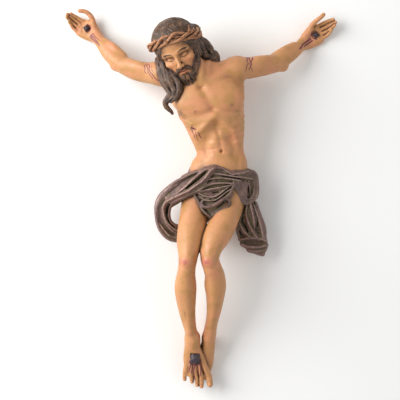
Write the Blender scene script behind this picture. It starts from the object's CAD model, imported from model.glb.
# %% [markdown]
# # A carved corpus, its crown of thorns and its nails
# The real object is a limewood figure made for a crucifix. It is carved, primed, painted and waxed,
# and a crown of twisted branches and three forged nails are set into it. Off its cross it lies on its
# planed back, so the camera looks straight down on it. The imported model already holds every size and
# place. This lesson gives each of its pieces a finer surface and a finish, in the same frame.

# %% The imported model
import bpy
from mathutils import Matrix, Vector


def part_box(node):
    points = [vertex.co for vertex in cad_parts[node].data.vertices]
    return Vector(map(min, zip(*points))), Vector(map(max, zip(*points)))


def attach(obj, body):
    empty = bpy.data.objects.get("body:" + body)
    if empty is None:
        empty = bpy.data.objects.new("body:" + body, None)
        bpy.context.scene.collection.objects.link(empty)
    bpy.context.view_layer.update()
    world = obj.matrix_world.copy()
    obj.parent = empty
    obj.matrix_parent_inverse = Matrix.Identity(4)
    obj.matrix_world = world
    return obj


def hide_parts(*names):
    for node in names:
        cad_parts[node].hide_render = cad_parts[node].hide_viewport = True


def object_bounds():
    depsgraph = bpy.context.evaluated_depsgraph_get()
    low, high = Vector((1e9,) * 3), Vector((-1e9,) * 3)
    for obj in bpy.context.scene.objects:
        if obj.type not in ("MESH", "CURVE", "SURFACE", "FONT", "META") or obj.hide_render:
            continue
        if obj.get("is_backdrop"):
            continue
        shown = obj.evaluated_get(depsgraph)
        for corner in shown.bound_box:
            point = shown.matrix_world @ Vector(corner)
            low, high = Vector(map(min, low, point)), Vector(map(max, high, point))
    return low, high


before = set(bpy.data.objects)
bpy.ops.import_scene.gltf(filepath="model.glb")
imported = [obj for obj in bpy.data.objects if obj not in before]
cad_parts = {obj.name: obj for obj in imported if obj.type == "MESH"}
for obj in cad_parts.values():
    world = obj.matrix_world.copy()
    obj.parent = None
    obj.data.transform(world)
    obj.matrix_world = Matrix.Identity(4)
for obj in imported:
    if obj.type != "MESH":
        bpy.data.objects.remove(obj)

cad_low, cad_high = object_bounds()
print("pieces of the packed model:", sorted(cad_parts))

# %% [markdown]
# ## The carver's own measure
# A carver works in shares of the figure's height and not in metres. The two hand nails are a known
# number of shares apart, so their distance in the frame gives the length of one share, and the nail
# in the right palm says where the carver's zero lies. No piece after this needs a size typed in metres.

# %% Shares of the figure
import math
import time

import bmesh
import bpy
import numpy as np
from mathutils import Matrix, Vector
from mathutils import noise as soft_noise
from mathutils.kdtree import KDTree

RIGHT_PALM = (-252.0, 382.0)
LEFT_PALM = (258.0, 367.0)


def middle_of(node):
    low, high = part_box(node)
    return (low + high) / 2


palm_gap = (middle_of("nail_left_hand") - middle_of("nail_right_hand")).length
SHARE = palm_gap / math.dist(RIGHT_PALM, LEFT_PALM)
ZERO = middle_of("nail_right_hand") - Vector((*RIGHT_PALM, 0)) * SHARE
ZERO.z = 0
print(f"one share is {SHARE * 1000:.3f} mm, and the carver's zero is at {ZERO.x:.4f}, {ZERO.y:.4f} m")


def place_at(at, lean, bow, turn):
    """A carver's own axes at a place: left, top and front, turned by three angles in degrees."""
    spin = Matrix.Rotation(math.radians(lean), 4, "Z") @ Matrix.Rotation(math.radians(bow), 4, "X")
    return Matrix.Translation(at) @ spin @ Matrix.Rotation(math.radians(turn), 4, "Y")


BENCH = Matrix.Identity(4)
HEAD = place_at((-46, 317, 119), 29, 26, -18)

# %% [markdown]
# ## Clay on a grid
# Limbs that flow into each other are hard to model as a net of faces, because every fillet needs its
# own faces. Here the figure is modelled as clay: a grid of numbers, each the distance to the surface,
# below zero inside. Two lumps join by taking the smaller distance, and a fillet is a small correction
# where the two are nearly alike. The grid is finer at the head, the hands, the feet and the cloth.

# %% The grid
FAR = 60.0


def graded(stops):
    """Places along one axis. Each stop is (from, to, spacing)."""
    runs = [np.linspace(a, b, max(2, round((b - a) / step) + 1))[:-1] for a, b, step in stops]
    return np.append(np.concatenate(runs), stops[-1][1]).astype(np.float32)


COARSE = 1
FINE = 0.95 * COARSE
PLAIN = 1.9 * COARSE
GRID = [
    graded([(-306, -222, FINE), (-222, -106, PLAIN), (-106, 156, FINE), (156, 222, PLAIN), (222, 312, FINE)]),
    graded([(-424, -320, FINE), (-320, -132, PLAIN), (-132, 78, FINE), (78, 180, PLAIN), (180, 428, FINE)]),
    graded([(-6, 22, 1.3 * COARSE), (22, 175, FINE), (175, 192, PLAIN)]),
]
print("grid of", " x ".join(str(len(axis)) for axis in GRID), "points")


# %% [markdown]
# ## Strands
# Most of a figure is made of strands: an arm, a finger, a lock of hair or a fold of cloth is a row of
# rings of changing width along a curve. A strand is given by a few rows of numbers, and a smooth curve
# through them (the same that a hand draws through points) fills in the rings between.

# %% Rings along a curve
def ease(rows, step):
    """Rows along a smooth curve through the given ones. Every number of a row is eased alike."""
    rows = np.array(rows, float)
    padded = np.vstack([rows[:1], rows, rows[-1:]])
    eased = []
    for before, value, to, after in zip(padded, padded[1:], padded[2:], padded[3:]):
        parts = max(1, math.ceil(np.linalg.norm(to[:3] - value[:3]) / step))
        slope = to - before
        bend = 2 * before - 5 * value + 4 * to - after
        rest = 3 * value - before - 3 * to + after
        for t in np.arange(parts) / parts:
            eased.append(value + 0.5 * t * (slope + t * (bend + t * rest)))
    return np.array([*eased, rows[-1]])


def rings_of(rows, place, step):
    """Middles, half widths, half depths and the two directions of the rings of a strand."""
    full = [[*row[:4], *(row[4:5] or row[3:4]), *(row[5:6] or [0])] for row in rows]
    eased = ease(full, step)
    turned = np.array(place.to_3x3())
    at = eased[:, :3] @ turned.T + np.array(place.translation)
    along = np.gradient(at, axis=0)
    along /= np.linalg.norm(along, axis=1)[:, None]
    across = np.cross(along, turned[:, 2])
    short = np.linalg.norm(across, axis=1) < 0.1
    across[short] = turned[:, 0]
    across /= np.linalg.norm(across, axis=1)[:, None]
    turn = np.radians(eased[:, 5:6])
    across = across * np.cos(turn) + np.cross(along, across) * np.sin(turn)
    return at, eased[:, 3], eased[:, 4], across, np.cross(across, along)


# %% [markdown]
# ## The modelling tools
# The clay knows four tools: a strand, a ball, a tool that presses a soft valley (or raises a ridge),
# and a joining of two clays. A strand's edge number says how sharp its back is: 2 is round like a limb,
# 1.3 is like a rolled hem, and below 1 the flanks are hollow. Each tool works only on the block of the
# grid that it can reach, which is what makes a grid of many millions of points quick enough.

# %% Clay and its tools
def rounded(across, deep, past, a, b, cap, edge):
    """Nearly the distance to a ring of half sizes a and b, from shares of those sizes."""
    slope = np.sqrt((across / a) ** 2 + (deep / b) ** 2 + (past / cap) ** 2) + 1e-6
    plain = across**2 + deep**2
    k = np.sqrt(plain + past**2)
    if edge != 2:
        section = (np.abs(across) ** edge + np.abs(deep) ** edge) ** (1 / edge)
        return (np.sqrt(section**2 + past**2) - 1) * k / slope
    return (k - 1) * k / slope


class Clay:
    def __init__(self, axes, field=None):
        self.axes = axes
        self.field = field
        if field is None:
            self.field = np.full([len(axis) for axis in axes], FAR, np.float32)

    def block(self, low, high):
        """The clay between two corners. It shares its numbers with the whole."""
        cut = tuple(
            slice(max(int(np.searchsorted(axis, a)) - 1, 0), max(int(np.searchsorted(axis, b)) + 1, 1))
            for axis, a, b in zip(self.axes, low, high)
        )
        return Clay([axis[c] for axis, c in zip(self.axes, cut)], self.field[cut])

    def around(self, points, reach):
        points = np.atleast_2d(points)
        return self.block(points.min(axis=0) - reach, points.max(axis=0) + reach)

    def twin(self):
        return Clay(self.axes, self.field.copy())

    def empty(self):
        return Clay(self.axes)

    def dots(self, origin, *ways):
        """For each way, how far every point of the clay lies from origin along it."""
        x, y, z = (axis - np.float32(o) for axis, o in zip(self.axes, origin))
        return [
            (x * np.float32(w[0]))[:, None, None]
            + ((y * np.float32(w[1]))[:, None] + (z * np.float32(w[2]))[None, :])[None]
            for w in ways
        ]

    def join(self, other, blend):
        """Keeps whichever surface is nearer, with a fillet in the crease."""
        low = np.minimum(self.field, other.field)
        if blend > 0:
            near = np.maximum(np.float32(blend) - np.abs(self.field - other.field), 0)
            low -= near * near / np.float32(4 * blend)
        self.field[...] = low

    def strand(self, rows, blend, place=BENCH, edge=2, step=5.0):
        rings = rings_of(rows, place, step)
        at, wide, deep = rings[:3]
        margin = blend + 3
        patch = self.around(at, max(wide.max(), deep.max()) + margin)
        lump = patch.empty()
        for i in range(len(at) - 1):
            lump.link([part[i : i + 2] for part in rings], margin, edge)
        patch.join(lump, blend)

    def link(self, rings, margin, edge):
        """One link of a strand, between two of its rings."""
        at, wide, deep, u, w = rings
        length = float(np.linalg.norm(at[1] - at[0])) + 1e-6
        way = (at[1] - at[0]) / length
        near = self.around(at, max(wide.max(), deep.max()) + margin)
        run, u0, u1, w0, w1 = near.dots(at[0], way, u[0], u[1] - u[0], w[0], w[1] - w[0])
        t = np.clip(run / np.float32(length), 0, 1)
        gone = t * np.float32(length)
        a = np.float32(wide[0]) + t * np.float32(wide[1] - wide[0])
        b = np.float32(deep[0]) + t * np.float32(deep[1] - deep[0])
        cap = np.minimum(a, b)
        lean_u = np.float32(way @ u[0]) + t * np.float32(way @ (u[1] - u[0]))
        lean_w = np.float32(way @ w[0]) + t * np.float32(way @ (w[1] - w[0]))
        across = (u0 + t * u1 - gone * lean_u) / a
        under = (w0 + t * w1 - gone * lean_w) / b
        distance = rounded(across, under, (run - gone) / cap, a, b, cap, edge)
        np.minimum(near.field, distance, out=near.field)

    def ball(self, centre, sizes, blend, place=BENCH):
        at = np.array(place @ Vector(centre))
        near = self.around(at, max(sizes) + blend + 3)
        x, y, z = near.dots(at, *np.array(place.to_3x3()).T)
        a, b, c = (np.float32(size) for size in sizes)
        lump = Clay(near.axes, rounded(x / a, y / b, z / c, a, b, c, 2))
        near.join(lump, blend)

    def press(self, line, width, depth, place=BENCH):
        """Draws a tool along a line. It presses a valley, or raises a ridge if depth is below zero."""
        slack = 0.35
        turned = np.array(place.to_3x3())
        line = ease(line, 4.0) if len(line) > 1 else np.array(line * 2, float)
        points = line[:, :3] @ turned.T + np.array(place.translation)
        reach = 2.6 * width * (np.abs(turned) @ np.array([1, 1, 1 / slack]))
        near = self.around(points, reach)
        apart = np.full(near.field.shape, 1e6, np.float32)
        whole = Clay(near.axes, apart)
        for start, end in zip(points, points[1:]):
            spot = whole.around(np.array([start, end]), reach)
            way = end - start
            square = float(way @ way) + 1e-9
            run, x, y, z = spot.dots(start, way / square, *turned.T)
            t = np.clip(run, 0, 1)
            lean = [np.float32(way @ axis) for axis in turned.T]
            square_off = (x - t * lean[0]) ** 2 + (y - t * lean[1]) ** 2
            square_off += np.float32(slack**2) * (z - t * lean[2]) ** 2
            np.minimum(spot.field, square_off, out=spot.field)
        near.field += np.float32(depth) * np.exp(-apart / np.float32(width**2))


flesh = Clay(GRID)

# %% [markdown]
# ## The trunk
# The trunk is one strand from the seat to the shoulders. Chest, collar bones, ribs and belly are then
# laid on or pressed in, as a modeller does with a thumb: the arch of the ribs stands out because the
# body hangs from its arms.


# %% Trunk
def shape_trunk(clay):
    clay.strand([
        [25, -10, 46, 56, 38], [26, 4, 48, 62, 43], [35, 33, 49, 63, 45], [43, 65, 55, 58, 41],
        [44, 87, 60, 52, 36], [44, 109, 65, 51, 34], [36, 152, 74, 60, 39], [27, 191, 80, 69, 44],
        [20, 217, 81, 75, 42], [16, 243, 81, 79, 37], [10, 264, 82, 64, 30], [7, 280, 86, 40, 25],
    ], 0, step=11)
    clay.ball([20, 228, 96], [58, 34, 24], 14)
    clay.ball([-14, 211, 107], [36, 27, 15], 22)
    clay.ball([58, 219, 105], [34, 26, 15], 22)
    clay.ball([-38, 226, 54], [26, 32, 14], 14)
    clay.ball([64, 234, 54], [26, 32, 14], 14)
    clay.strand([[-4, 245, 114, 7, 6], [-38, 261, 112, 6], [-76, 274, 104, 8]], 9)
    clay.strand([[12, 247, 114, 7, 6], [42, 265, 110, 6], [74, 284, 100, 8]], 9)
    clay.strand([[-14, 268, 88, 20], [-52, 276, 86, 20], [-84, 276, 84, 20]], 12)
    clay.strand([[26, 268, 88, 20], [52, 276, 86, 20], [76, 286, 84, 20]], 12)
    clay.press([[-1, 243, 118], [10, 224, 120], [26, 196, 120]], 9, 3)
    clay.press([[2, 240, 116]], 7, 5)


def shape_chest(clay):
    clay.press([[-38, 188, 110], [-24, 181, 114], [-8, 178, 116], [14, 184, 118], [24, 190, 118]], 7, 2.8)
    clay.press([[30, 192, 118], [44, 188, 116], [60, 188, 114], [74, 192, 110]], 7, 2.4)
    clay.press([[29, 175, 114], [16, 162, 114], [2, 149, 111], [-12, 138, 104]], 7, -3.4)
    clay.press([[36, 175, 114], [50, 165, 113], [64, 155, 111], [75, 143, 106]], 7, -2.6)
    clay.press([[32, 158, 112], [22, 141, 108], [8, 124, 102]], 13, 6)
    clay.press([[38, 158, 112], [52, 144, 108], [64, 130, 101]], 13, 5.2)
    for rib in range(4):
        drop = 13 * rib + 8
        clay.press([[-52, 190 - drop, 80], [-36, 178 - drop, 97], [-20, 169 - drop, 106]], 4.4, -2.6)
        clay.press([[98, 190 - drop, 80], [88, 177 - drop, 92], [74, 168 - drop, 104]], 4.6, -1.8)
        clay.press([[97, 184 - drop, 80], [87, 171 - drop, 92], [75, 162 - drop, 103]], 3.4, 0.7)


def shape_belly(clay):
    clay.press([[-18, 153, 100], [-8, 150, 106]], 1.6, 2.6)
    clay.press([[33, 164, 112], [41, 133, 100], [46, 108, 98]], 5, 2.6)
    clay.ball([43, 84, 86], [30, 27, 12], 14)
    clay.press([[16, 128, 100], [13, 110, 98], [15, 97, 97]], 7, 3.4)
    clay.press([[66, 132, 98], [73, 112, 96], [71, 98, 95]], 7, 3.6)
    clay.press([[24, 129, 98], [42, 127, 99], [60, 129, 98]], 4, 1.2)
    clay.press([[26, 148, 103], [38, 146, 103], [52, 148, 103]], 4, 0.8)
    clay.press([[-4, 107, 88], [12, 108, 96], [30, 109, 99]], 4, 1.6)
    clay.press([[-2, 100, 88], [14, 99, 96], [34, 100, 99]], 3, 0.9)
    clay.press([[46, 104, 98]], 3, 6)
    clay.press([[41, 107.5, 98], [46, 110.5, 98], [51, 107.5, 98]], 2, -1.2)
    clay.ball([-2, 70, 66], [16, 20, 20], 14)
    clay.ball([86, 78, 66], [14, 20, 20], 14)
    clay.press([[-10, 188, 118]], 2.2, -1.5)
    clay.press([[67, 203, 112]], 2.2, -1.5)


# %% [markdown]
# ## Arms and hands
# Each arm is one strand from shoulder to wrist, with the muscles laid on as smaller ones. The palms
# are flat strands, each finger is a row of joints from knuckle to tip, and creases are pressed in
# where the joints bend. Neighbouring fingers are parted by a groove with wood left behind it, as a
# carver does so that they don't snap off. They curl up, because a nail goes through the palm.


# %% Arms
def shape_arms(clay):
    clay.strand([
        [-74, 267, 84, 24, 24], [-99, 274, 78, 23, 22], [-125, 279, 70, 20.5, 20], [-150, 288, 62, 19, 19],
        [-174, 300, 55, 18.2, 17.5], [-198, 321, 42, 16.8, 16], [-213, 341, 32, 14.4, 13.5],
        [-226, 358, 20, 12.6, 11], [-234, 367, 13.5, 14, 9.5],
    ], 12, step=9)
    clay.ball([-88, 273, 88], [25, 23, 24], 12)
    clay.strand([[-108, 281, 88, 9], [-128, 286, 84, 11], [-152, 295, 72, 8]], 10)
    clay.strand([[-110, 268, 72, 12], [-140, 274, 60, 12], [-168, 287, 50, 10]], 10)
    clay.ball([-185, 293, 48], [11, 10, 10], 8)
    clay.strand([[-166, 316, 56, 6], [-187, 333, 50, 8.5], [-206, 349, 36, 6]], 8)
    clay.strand([
        [72, 280, 85, 24, 24], [102, 286, 79, 22, 21], [134, 293, 70, 19.2, 19], [153, 297, 62, 18.4, 18],
        [171, 303, 55, 18.4, 17.5], [193, 317, 42, 17, 16], [211, 331, 32, 14.6, 13.5],
        [224, 343, 20, 12.8, 11], [232, 350, 13.5, 14, 9.5],
    ], 12, step=9)
    clay.ball([82, 285, 87], [24, 22, 24], 12)
    clay.strand([[106, 293, 88, 9], [130, 299, 84, 11], [152, 304, 72, 8]], 10)
    clay.strand([[108, 277, 72, 12], [138, 283, 60, 12], [164, 290, 50, 10]], 10)
    clay.ball([182, 291, 48], [11, 10, 10], 8)
    clay.strand([[162, 315, 56, 6], [184, 328, 50, 8.5], [205, 342, 36, 6]], 8)
    # tendons and veins under the skin
    for side, x, y in ((-1, -222, 352), (1, 220, 338)):
        clay.press([[x - side * 26, y - 30, 52], [x - side * 12, y - 12, 34], [x, y + 6, 24]], 2.4, -1.1)
        clay.press([
            [x - side * 34, y - 22, 54], [x - side * 18, y - 4, 36], [x - side * 6, y + 12, 26],
        ], 2, -0.8)


# %% Hands
FINGERS = [
    ([[-258, 395, 8.5], [-272, 404.5, 14.5], [-281.5, 410, 19.5], [-286.5, 412.5, 24.5]], 4.5),
    ([[-264, 390, 8.5], [-278.6, 400.7, 13.5], [-289, 408.6, 19.5], [-294, 411.5, 25]], 4.6),
    ([[-268, 382, 8.5], [-283, 393.5, 13.5], [-291.5, 402, 19.5], [-295.2, 405.5, 24.5]], 4.5),
    ([[-268, 371.5, 8.5], [-281.5, 381.5, 12.5], [-287.5, 391, 17.5], [-290.5, 396, 21.5]], 4),
    ([[262, 387, 8.5], [279, 395, 14.5], [290.8, 399, 19.5], [295.8, 399.8, 24.5]], 4.5),
    ([[265, 378, 8.5], [284, 386.3, 13.5], [295.2, 392, 19.5], [300.2, 393.6, 25]], 4.6),
    ([[266, 368, 8.5], [284.5, 376.5, 13.5], [294, 383.5, 19.5], [298.5, 387.5, 24.5]], 4.4),
    ([[266, 358.5, 8.5], [281.5, 365.5, 12.5], [289, 373, 17.5], [292, 378, 21.5]], 4),
    ([[-235, 386, 17.5], [-238, 400, 22.5], [-245, 411, 26.5], [-255, 417, 29.5], [-266, 418, 30.5]], 5.4),
    ([[243, 376, 17.5], [247.6, 387, 22.5], [257, 396, 26.5], [266, 403, 29.5], [273, 409.5, 30.5]], 5.4),
]


def shape_palms(clay):
    clay.strand([
        [-228, 361, 15.5, 13, 10], [-239, 370, 9.5, 17, 9], [-252, 379, 7.5, 20, 8],
        [-264, 385, 7.5, 20, 7], [-270, 387.5, 8.5, 18, 6],
    ], 4)
    clay.strand([
        [226, 345, 15.5, 13, 10], [238, 352, 9.5, 17, 9], [251, 361, 7.5, 20, 8],
        [263, 367.5, 7.5, 20, 7], [269, 370, 8.5, 18, 6],
    ], 4)
    clay.strand([[-232, 376, 13.5, 9, 8], [-240, 392, 17.5, 8, 7]], 5)
    clay.strand([[-234, 361, 10.5, 8, 7], [-250, 365, 9, 8, 7], [-267, 372, 8.5, 6.5, 6]], 5)
    clay.strand([[234, 364, 13.5, 9, 8], [246, 380, 17.5, 8, 7]], 5)
    clay.strand([[234, 347, 10.5, 8, 7], [248, 350, 9, 8, 7], [266, 358, 8.5, 6.5, 6]], 5)
    clay.ball([-246, 394, 11], [9, 8, 6], 5)
    clay.ball([257, 384, 11], [9, 8, 6], 5)


def shape_fingers(clay):
    for joints, radius in FINGERS:
        last = len(joints) - 1
        clay.strand([[*joint, radius * (1.12 - 0.3 * i / last)] for i, joint in enumerate(joints)], 1.2)
        for before, at, after in zip(joints, joints[1:], joints[2:]):
            way = np.array(after, float) - np.array(before)
            side = np.cross(way, [0, 0, 1.0])
            side *= 0.75 * radius / np.linalg.norm(side)
            top = np.array(at) + [0, 0, 0.8 * radius]
            clay.press([list(top - side), list(top + [0, 0, 0.2 * radius]), list(top + side)], 1.1, 0.9)
        # the fingernail lies on the back of the tip
        before, tip = (np.array(joint, float) for joint in joints[-2:])
        back = np.cross(tip - before, np.cross([0, 0, 1.0], tip - before))
        back /= np.linalg.norm(back)
        spot = tip - 0.25 * (tip - before) - radius * 0.8 * back
        clay.press([list(spot)], 2.2, 0.5)
    # the lines between neighbours, and the folds of the palms
    for first, second in ((0, 1), (1, 2), (2, 3), (4, 5), (5, 6), (6, 7)):
        gap = [[(a + b) / 2 for a, b in zip(p, q)] for p, q in zip(FINGERS[first][0], FINGERS[second][0])]
        clay.strand([[x, y, z - 0.6, 1.6, 2] for x, y, z in gap[:-1]], 0.6)
        clay.press([[x, y, z + 3.6] for x, y, z in gap], 1.7, 0.8)
    for side, x, y in ((-1, -252, 381), (1, 257, 366)):
        for fold, width, depth in (
            (((-9, 15, 15), (-10, 4, 13), (-14, -6, 13)), 1.6, 1),
            (((13, 14, 14), (9, 5, 14), (10, -8, 13)), 1.4, 0.9),
        ):
            clay.press([[x + side * out, y + up, high] for out, up, high in fold], width, depth)


# %% [markdown]
# ## Legs and feet
# The two legs cross at the ankles. If both were joined to the trunk in one clay, the fillet between
# trunk and thigh would also fill the gap between the two shins, so each leg is modelled on a copy of
# the trunk, and the copies are joined at the end with hardly any fillet.


# %% Legs
def shape_shin(leg, knee, edge):
    x, y, z = knee
    leg.ball([x, y, z], [12, 13, 9], 7)
    leg.ball([x, y - 21, z - 7], [7, 9, 6], 7)
    leg.strand([[*point, 7 - i] for i, point in enumerate(edge)], 9)
    for side in (-1, 1):
        leg.press([[x + side * 13, y - 10, z - 4], [x + side * 15, y + 8, z - 4]], 4, 1.8)
        leg.press([[x + side * 8, y + 16, z - 2], [x + side * 14, y + 34, z - 12]], 5, 1)


def shape_legs(clay):
    lower = clay.block([-60, -430, -20], [110, 100, 200])
    right = lower.twin()
    right.strand([
        [-5, 20, 50, 33, 36], [-9.7, -13, 62, 31.5, 34], [-16.7, -53.5, 83, 29.7, 31],
        [-22, -85.6, 103, 26.5, 28], [-24.3, -112, 117, 21.5, 24], [-26, -128, 121, 20, 22.5],
        [-27.6, -142, 116, 18.6, 22], [-29.8, -161, 107, 20, 23], [-31, -185, 96, 23.6, 25],
        [-30.4, -208.7, 86, 22, 23], [-27.4, -244, 73, 17.5, 19], [-21, -281, 61, 13.5, 15.5],
        [-16, -306, 55, 14.5, 15],
    ], 14, step=9)
    right.strand([[2, -60, 92, 12], [-9, -92, 112, 11], [-14, -110, 120, 7]], 10)
    right.strand([[-30, -58, 92, 12], [-37, -90, 110, 9], [-36, -108, 120, 6]], 10)
    shape_shin(right, [-27, -129, 135], [[-28, -150, 128], [-27, -208, 103], [-21, -285, 74]])
    left = lower.twin()
    left.strand([
        [74, 24, 50, 33, 36], [61, -13, 62, 33, 34], [53, -43, 82, 29.5, 32], [37, -75, 100, 29, 30],
        [25.6, -98.5, 113, 23.5, 26], [20.5, -124, 121, 20, 22.5], [25.7, -142, 117, 19.6, 22],
        [31.5, -161, 107, 21.3, 23], [32.6, -182.6, 96, 23.4, 24.5], [33.2, -204.5, 86, 20.2, 22.5],
        [30, -240.6, 71, 15.6, 18], [25.4, -267.6, 59, 13.4, 15.5], [19.4, -299, 47, 14.5, 15.5],
    ], 14, step=9)
    left.strand([[36, -56, 96, 11], [20, -84, 112, 11], [10, -106, 121, 7]], 10)
    left.strand([[56, -52, 90, 12], [43, -82, 108, 9], [33, -102, 119, 6]], 10)
    shape_shin(left, [18, -129, 136], [[24, -150, 128], [30, -205, 102], [24, -270, 70]])
    right.join(left, 2)
    lower.field[...] = right.field


# %% Feet
TOES = [
    ([[1, -342, 46], [10, -367, 40], [19.5, -389, 34], [22, -407, 35]], 7.4),
    ([[-6, -342, 48], [-1, -367, 42], [3, -391, 36], [3.4, -411.6, 32]], 5.4),
    ([[-12, -342, 48], [-11, -367, 41], [-7.5, -389, 35], [-6, -409, 30]], 5.2),
    ([[-19, -342, 46], [-20, -367, 39], [-19, -386, 33], [-17.6, -402, 29]], 4.9),
    ([[-26, -342, 42], [-31, -364, 35], [-33.5, -382, 30], [-34, -397, 26]], 5),
    ([[20, -370, 7], [17, -384, 7], [13, -397, 6]], 6.6),
    ([[10, -374, 6], [5, -388, 6], [1, -401, 5]], 5),
    ([[2, -376, 6], [-4, -390, 6], [-8, -402, 5]], 4.8),
    ([[-6, -376, 5], [-13, -389, 5], [-18, -399, 5]], 4.6),
    ([[-12, -372, 5], [-21, -383, 5], [-26, -391, 5]], 4.4),
]


def shape_feet(clay):
    clay.ball([-18, -316, 36], [13, 14, 18], 12)
    clay.ball([-26, -301, 51], [7, 9, 8], 7)
    clay.ball([-8, -297, 57], [7, 9, 8], 7)
    clay.strand([
        [-16, -306, 54, 14.5, 15.5], [-16.5, -326, 50, 18, 14], [-15, -344, 45, 22, 12],
        [-11, -362, 39, 24.5, 9], [-8, -376, 34, 25, 6], [-7, -385, 32, 23, 4],
    ], 8)
    clay.ball([18, -312, 17], [13, 14, 18], 12)
    clay.ball([28, -291, 43], [7, 8, 8], 7)
    clay.strand([
        [19, -302, 44, 14.5, 15.5], [17.5, -320, 37, 15.5, 15], [12, -338, 29, 20, 14], [6, -356, 21, 24, 12],
        [1, -374, 12, 24, 10], [-3, -386, 7, 21, 8],
    ], 5)
    for joints, radius in TOES:
        last = len(joints) - 1
        clay.strand([[*joint, radius * (0.86 if i == last else 0.95)] for i, joint in enumerate(joints)], 2)
        x, y, z = joints[-1]
        clay.press([[x, y - 1, z + radius * 0.6]], 0.42 * radius, 0.9)
        clay.press([[x, y + 2.4 * radius, z + radius]], 0.5 * radius, 0.7)
    for joints, radius in TOES[:5]:
        (x, y, z), (x2, y2, z2) = joints[:2]
        clay.press([[x, y + 14, z + 6], [x2, y2, z2 + 5], [x2 + 0.4 * (x2 - x), y2 - 12, z2]], 2, -1.3)
        x, y, z = joints[-1]
        clay.ball([x, y, z + 0.62 * radius], [0.58 * radius, 0.7 * radius, 0.42 * radius], 0.1)
        top = z + 0.8 * radius
        bow = ((-0.75, 0), (0, 1), (0.75, 0))
        clay.press([[x + a * radius, y + b * radius, top] for a, b in bow], 0.8, 1.2)
        x, y, z = joints[-2]
        top = z + 0.9 * radius
        clay.press([[x - 0.7 * radius, y, top], [x + 0.7 * radius, y, top]], 0.9, 0.9)
    for (one, _), (two, _) in zip(TOES[:4], TOES[1:5]):
        gap = [[(a + b) / 2 for a, b in zip(p, q)] for p, q in zip(one, two)]
        clay.press([[x, y, z + 5] for x, y, z in gap[:3]], 1.8, 2.2)


# %% [markdown]
# ## Head
# The face is a calm one on the proportions of a drawing book: the eyes half way down the head, the
# nose at half the rest, the mouth a third of the way below it, five eye widths across. It is built on
# its own axes and then set on the neck, leaning and turned, so that left and right are made alike.


# %% Head and face
def shape_neck(clay):
    clay.strand([[10, 248, 88, 30, 24], [-6, 272, 103, 26, 23], [-26, 296, 112, 27, 25]], 12)
    clay.strand([[-2, 294, 120, 6], [4, 268, 120, 6], [2, 248, 116, 5]], 6)
    clay.strand([[18, 292, 106, 6], [16, 268, 112, 5.5], [5, 248, 115, 5]], 6)


def shape_skull(clay):
    clay.ball([0, 11, -7], [37, 46, 46], 0, HEAD)
    clay.strand([
        [0, 22, 12, 33, 26], [0, 0, 13, 33, 25], [0, -22, 14, 31, 25], [0, -40, 18, 23, 20],
        [0, -51, 22, 13, 14],
    ], 8, HEAD)
    clay.ball([0, -51, 31], [11, 8, 8], 5, HEAD)
    clay.strand([
        [-25, 9, 27, 6, 5], [-12, 9, 35, 6, 5], [0, 7, 37, 5], [12, 9, 35, 6, 5], [25, 9, 27, 6, 5],
    ], 5, HEAD)
    for side in (-1, 1):
        clay.ball([side * 22, -13, 26], [10, 7, 8], 8, HEAD)
        clay.press([[side * 27, -22, 24], [side * 22, -34, 26]], 8, 1.6, HEAD)


def shape_eyes(clay):
    for side in (-1, 1):
        clay.press([[side * 9, 0, 38], [side * 15, 0.5, 37], [side * 21, -1, 34]], 6, 6, HEAD)
        clay.ball([side * 15, -1.6, 26.6], [8.6, 6.6, 7.6], 1.5, HEAD)
        # the upper lid with the fold above it, and the slit under its edge
        clay.press([[side * 6, 1, 38], [side * 14.5, 5.2, 38], [side * 24, 1.4, 32]], 1.2, 1.3, HEAD)
        clay.press([[side * 6.4, -3.8, 38], [side * 14, -6.2, 38], [side * 23.4, -3.2, 32]], 1, 1.5, HEAD)
        clay.press([[side * 6.5, -2.4, 38], [side * 14, -4.4, 38], [side * 23.6, -1.8, 32]], 0.9, -0.7, HEAD)
        clay.press([[side * 7, -8.4, 38], [side * 15, -10.6, 37], [side * 22, -8, 32]], 1.6, 0.8, HEAD)
        clay.press([[side * 7, 9.6, 40], [side * 15, 12.4, 38], [side * 25, 8.6, 30]], 1.7, -0.7, HEAD)


def shape_nose(clay):
    clay.strand([[0, 7, 37, 4.2, 4], [0, -6, 42, 3.8, 4.4], [0, -16, 47, 4.6, 5]], 4, HEAD)
    clay.ball([0, -18, 48], [4.6, 4.2, 4.6], 3, HEAD)
    for side in (-1, 1):
        clay.ball([side * 5.4, -19, 42.5], [3.8, 3.8, 5], 2, HEAD)
        clay.press([[side * 2.8, -23, 46]], 1.4, 2, HEAD)
        clay.press([[side * 9.4, -17, 42], [side * 10, -21, 40], [side * 14, -29, 38]], 1.7, 1.1, HEAD)
    clay.press([[0, -24, 42], [0, -28, 42]], 1.6, 0.8, HEAD)


def shape_mouth(clay):
    clay.ball([0, -33, 30], [15, 9, 9], 5, HEAD)
    clay.strand([
        [-11, -32.6, 35, 1.8], [-4.4, -30, 39.2, 2.4], [0, -30.8, 39.8, 2.2], [4.4, -30, 39.2, 2.4],
        [11, -32.6, 35, 1.8],
    ], 1.5, HEAD)
    clay.strand([[-9, -34.4, 35.4, 1.8], [0, -36.4, 39.2, 3], [9, -34.4, 35.4, 1.8]], 1.5, HEAD)
    clay.press([
        [-11.5, -33, 38], [-5, -32.6, 42], [0, -33.4, 42], [5, -32.6, 42], [11.5, -33, 38],
    ], 1, 1.7, HEAD)
    clay.press([[-6, -41, 38], [0, -42, 38], [6, -41, 38]], 2.4, 1.2, HEAD)


# %% Model the flesh
started = time.time()
shape_trunk(flesh)
shape_chest(flesh)
shape_belly(flesh)
shape_arms(flesh)
shape_legs(flesh)
shape_feet(flesh)
shape_palms(flesh)
shape_fingers(flesh)
shape_neck(flesh)
shape_skull(flesh)
shape_eyes(flesh)
shape_nose(flesh)
shape_mouth(flesh)
print(f"flesh modelled in {time.time() - started:.0f} s")

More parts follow.
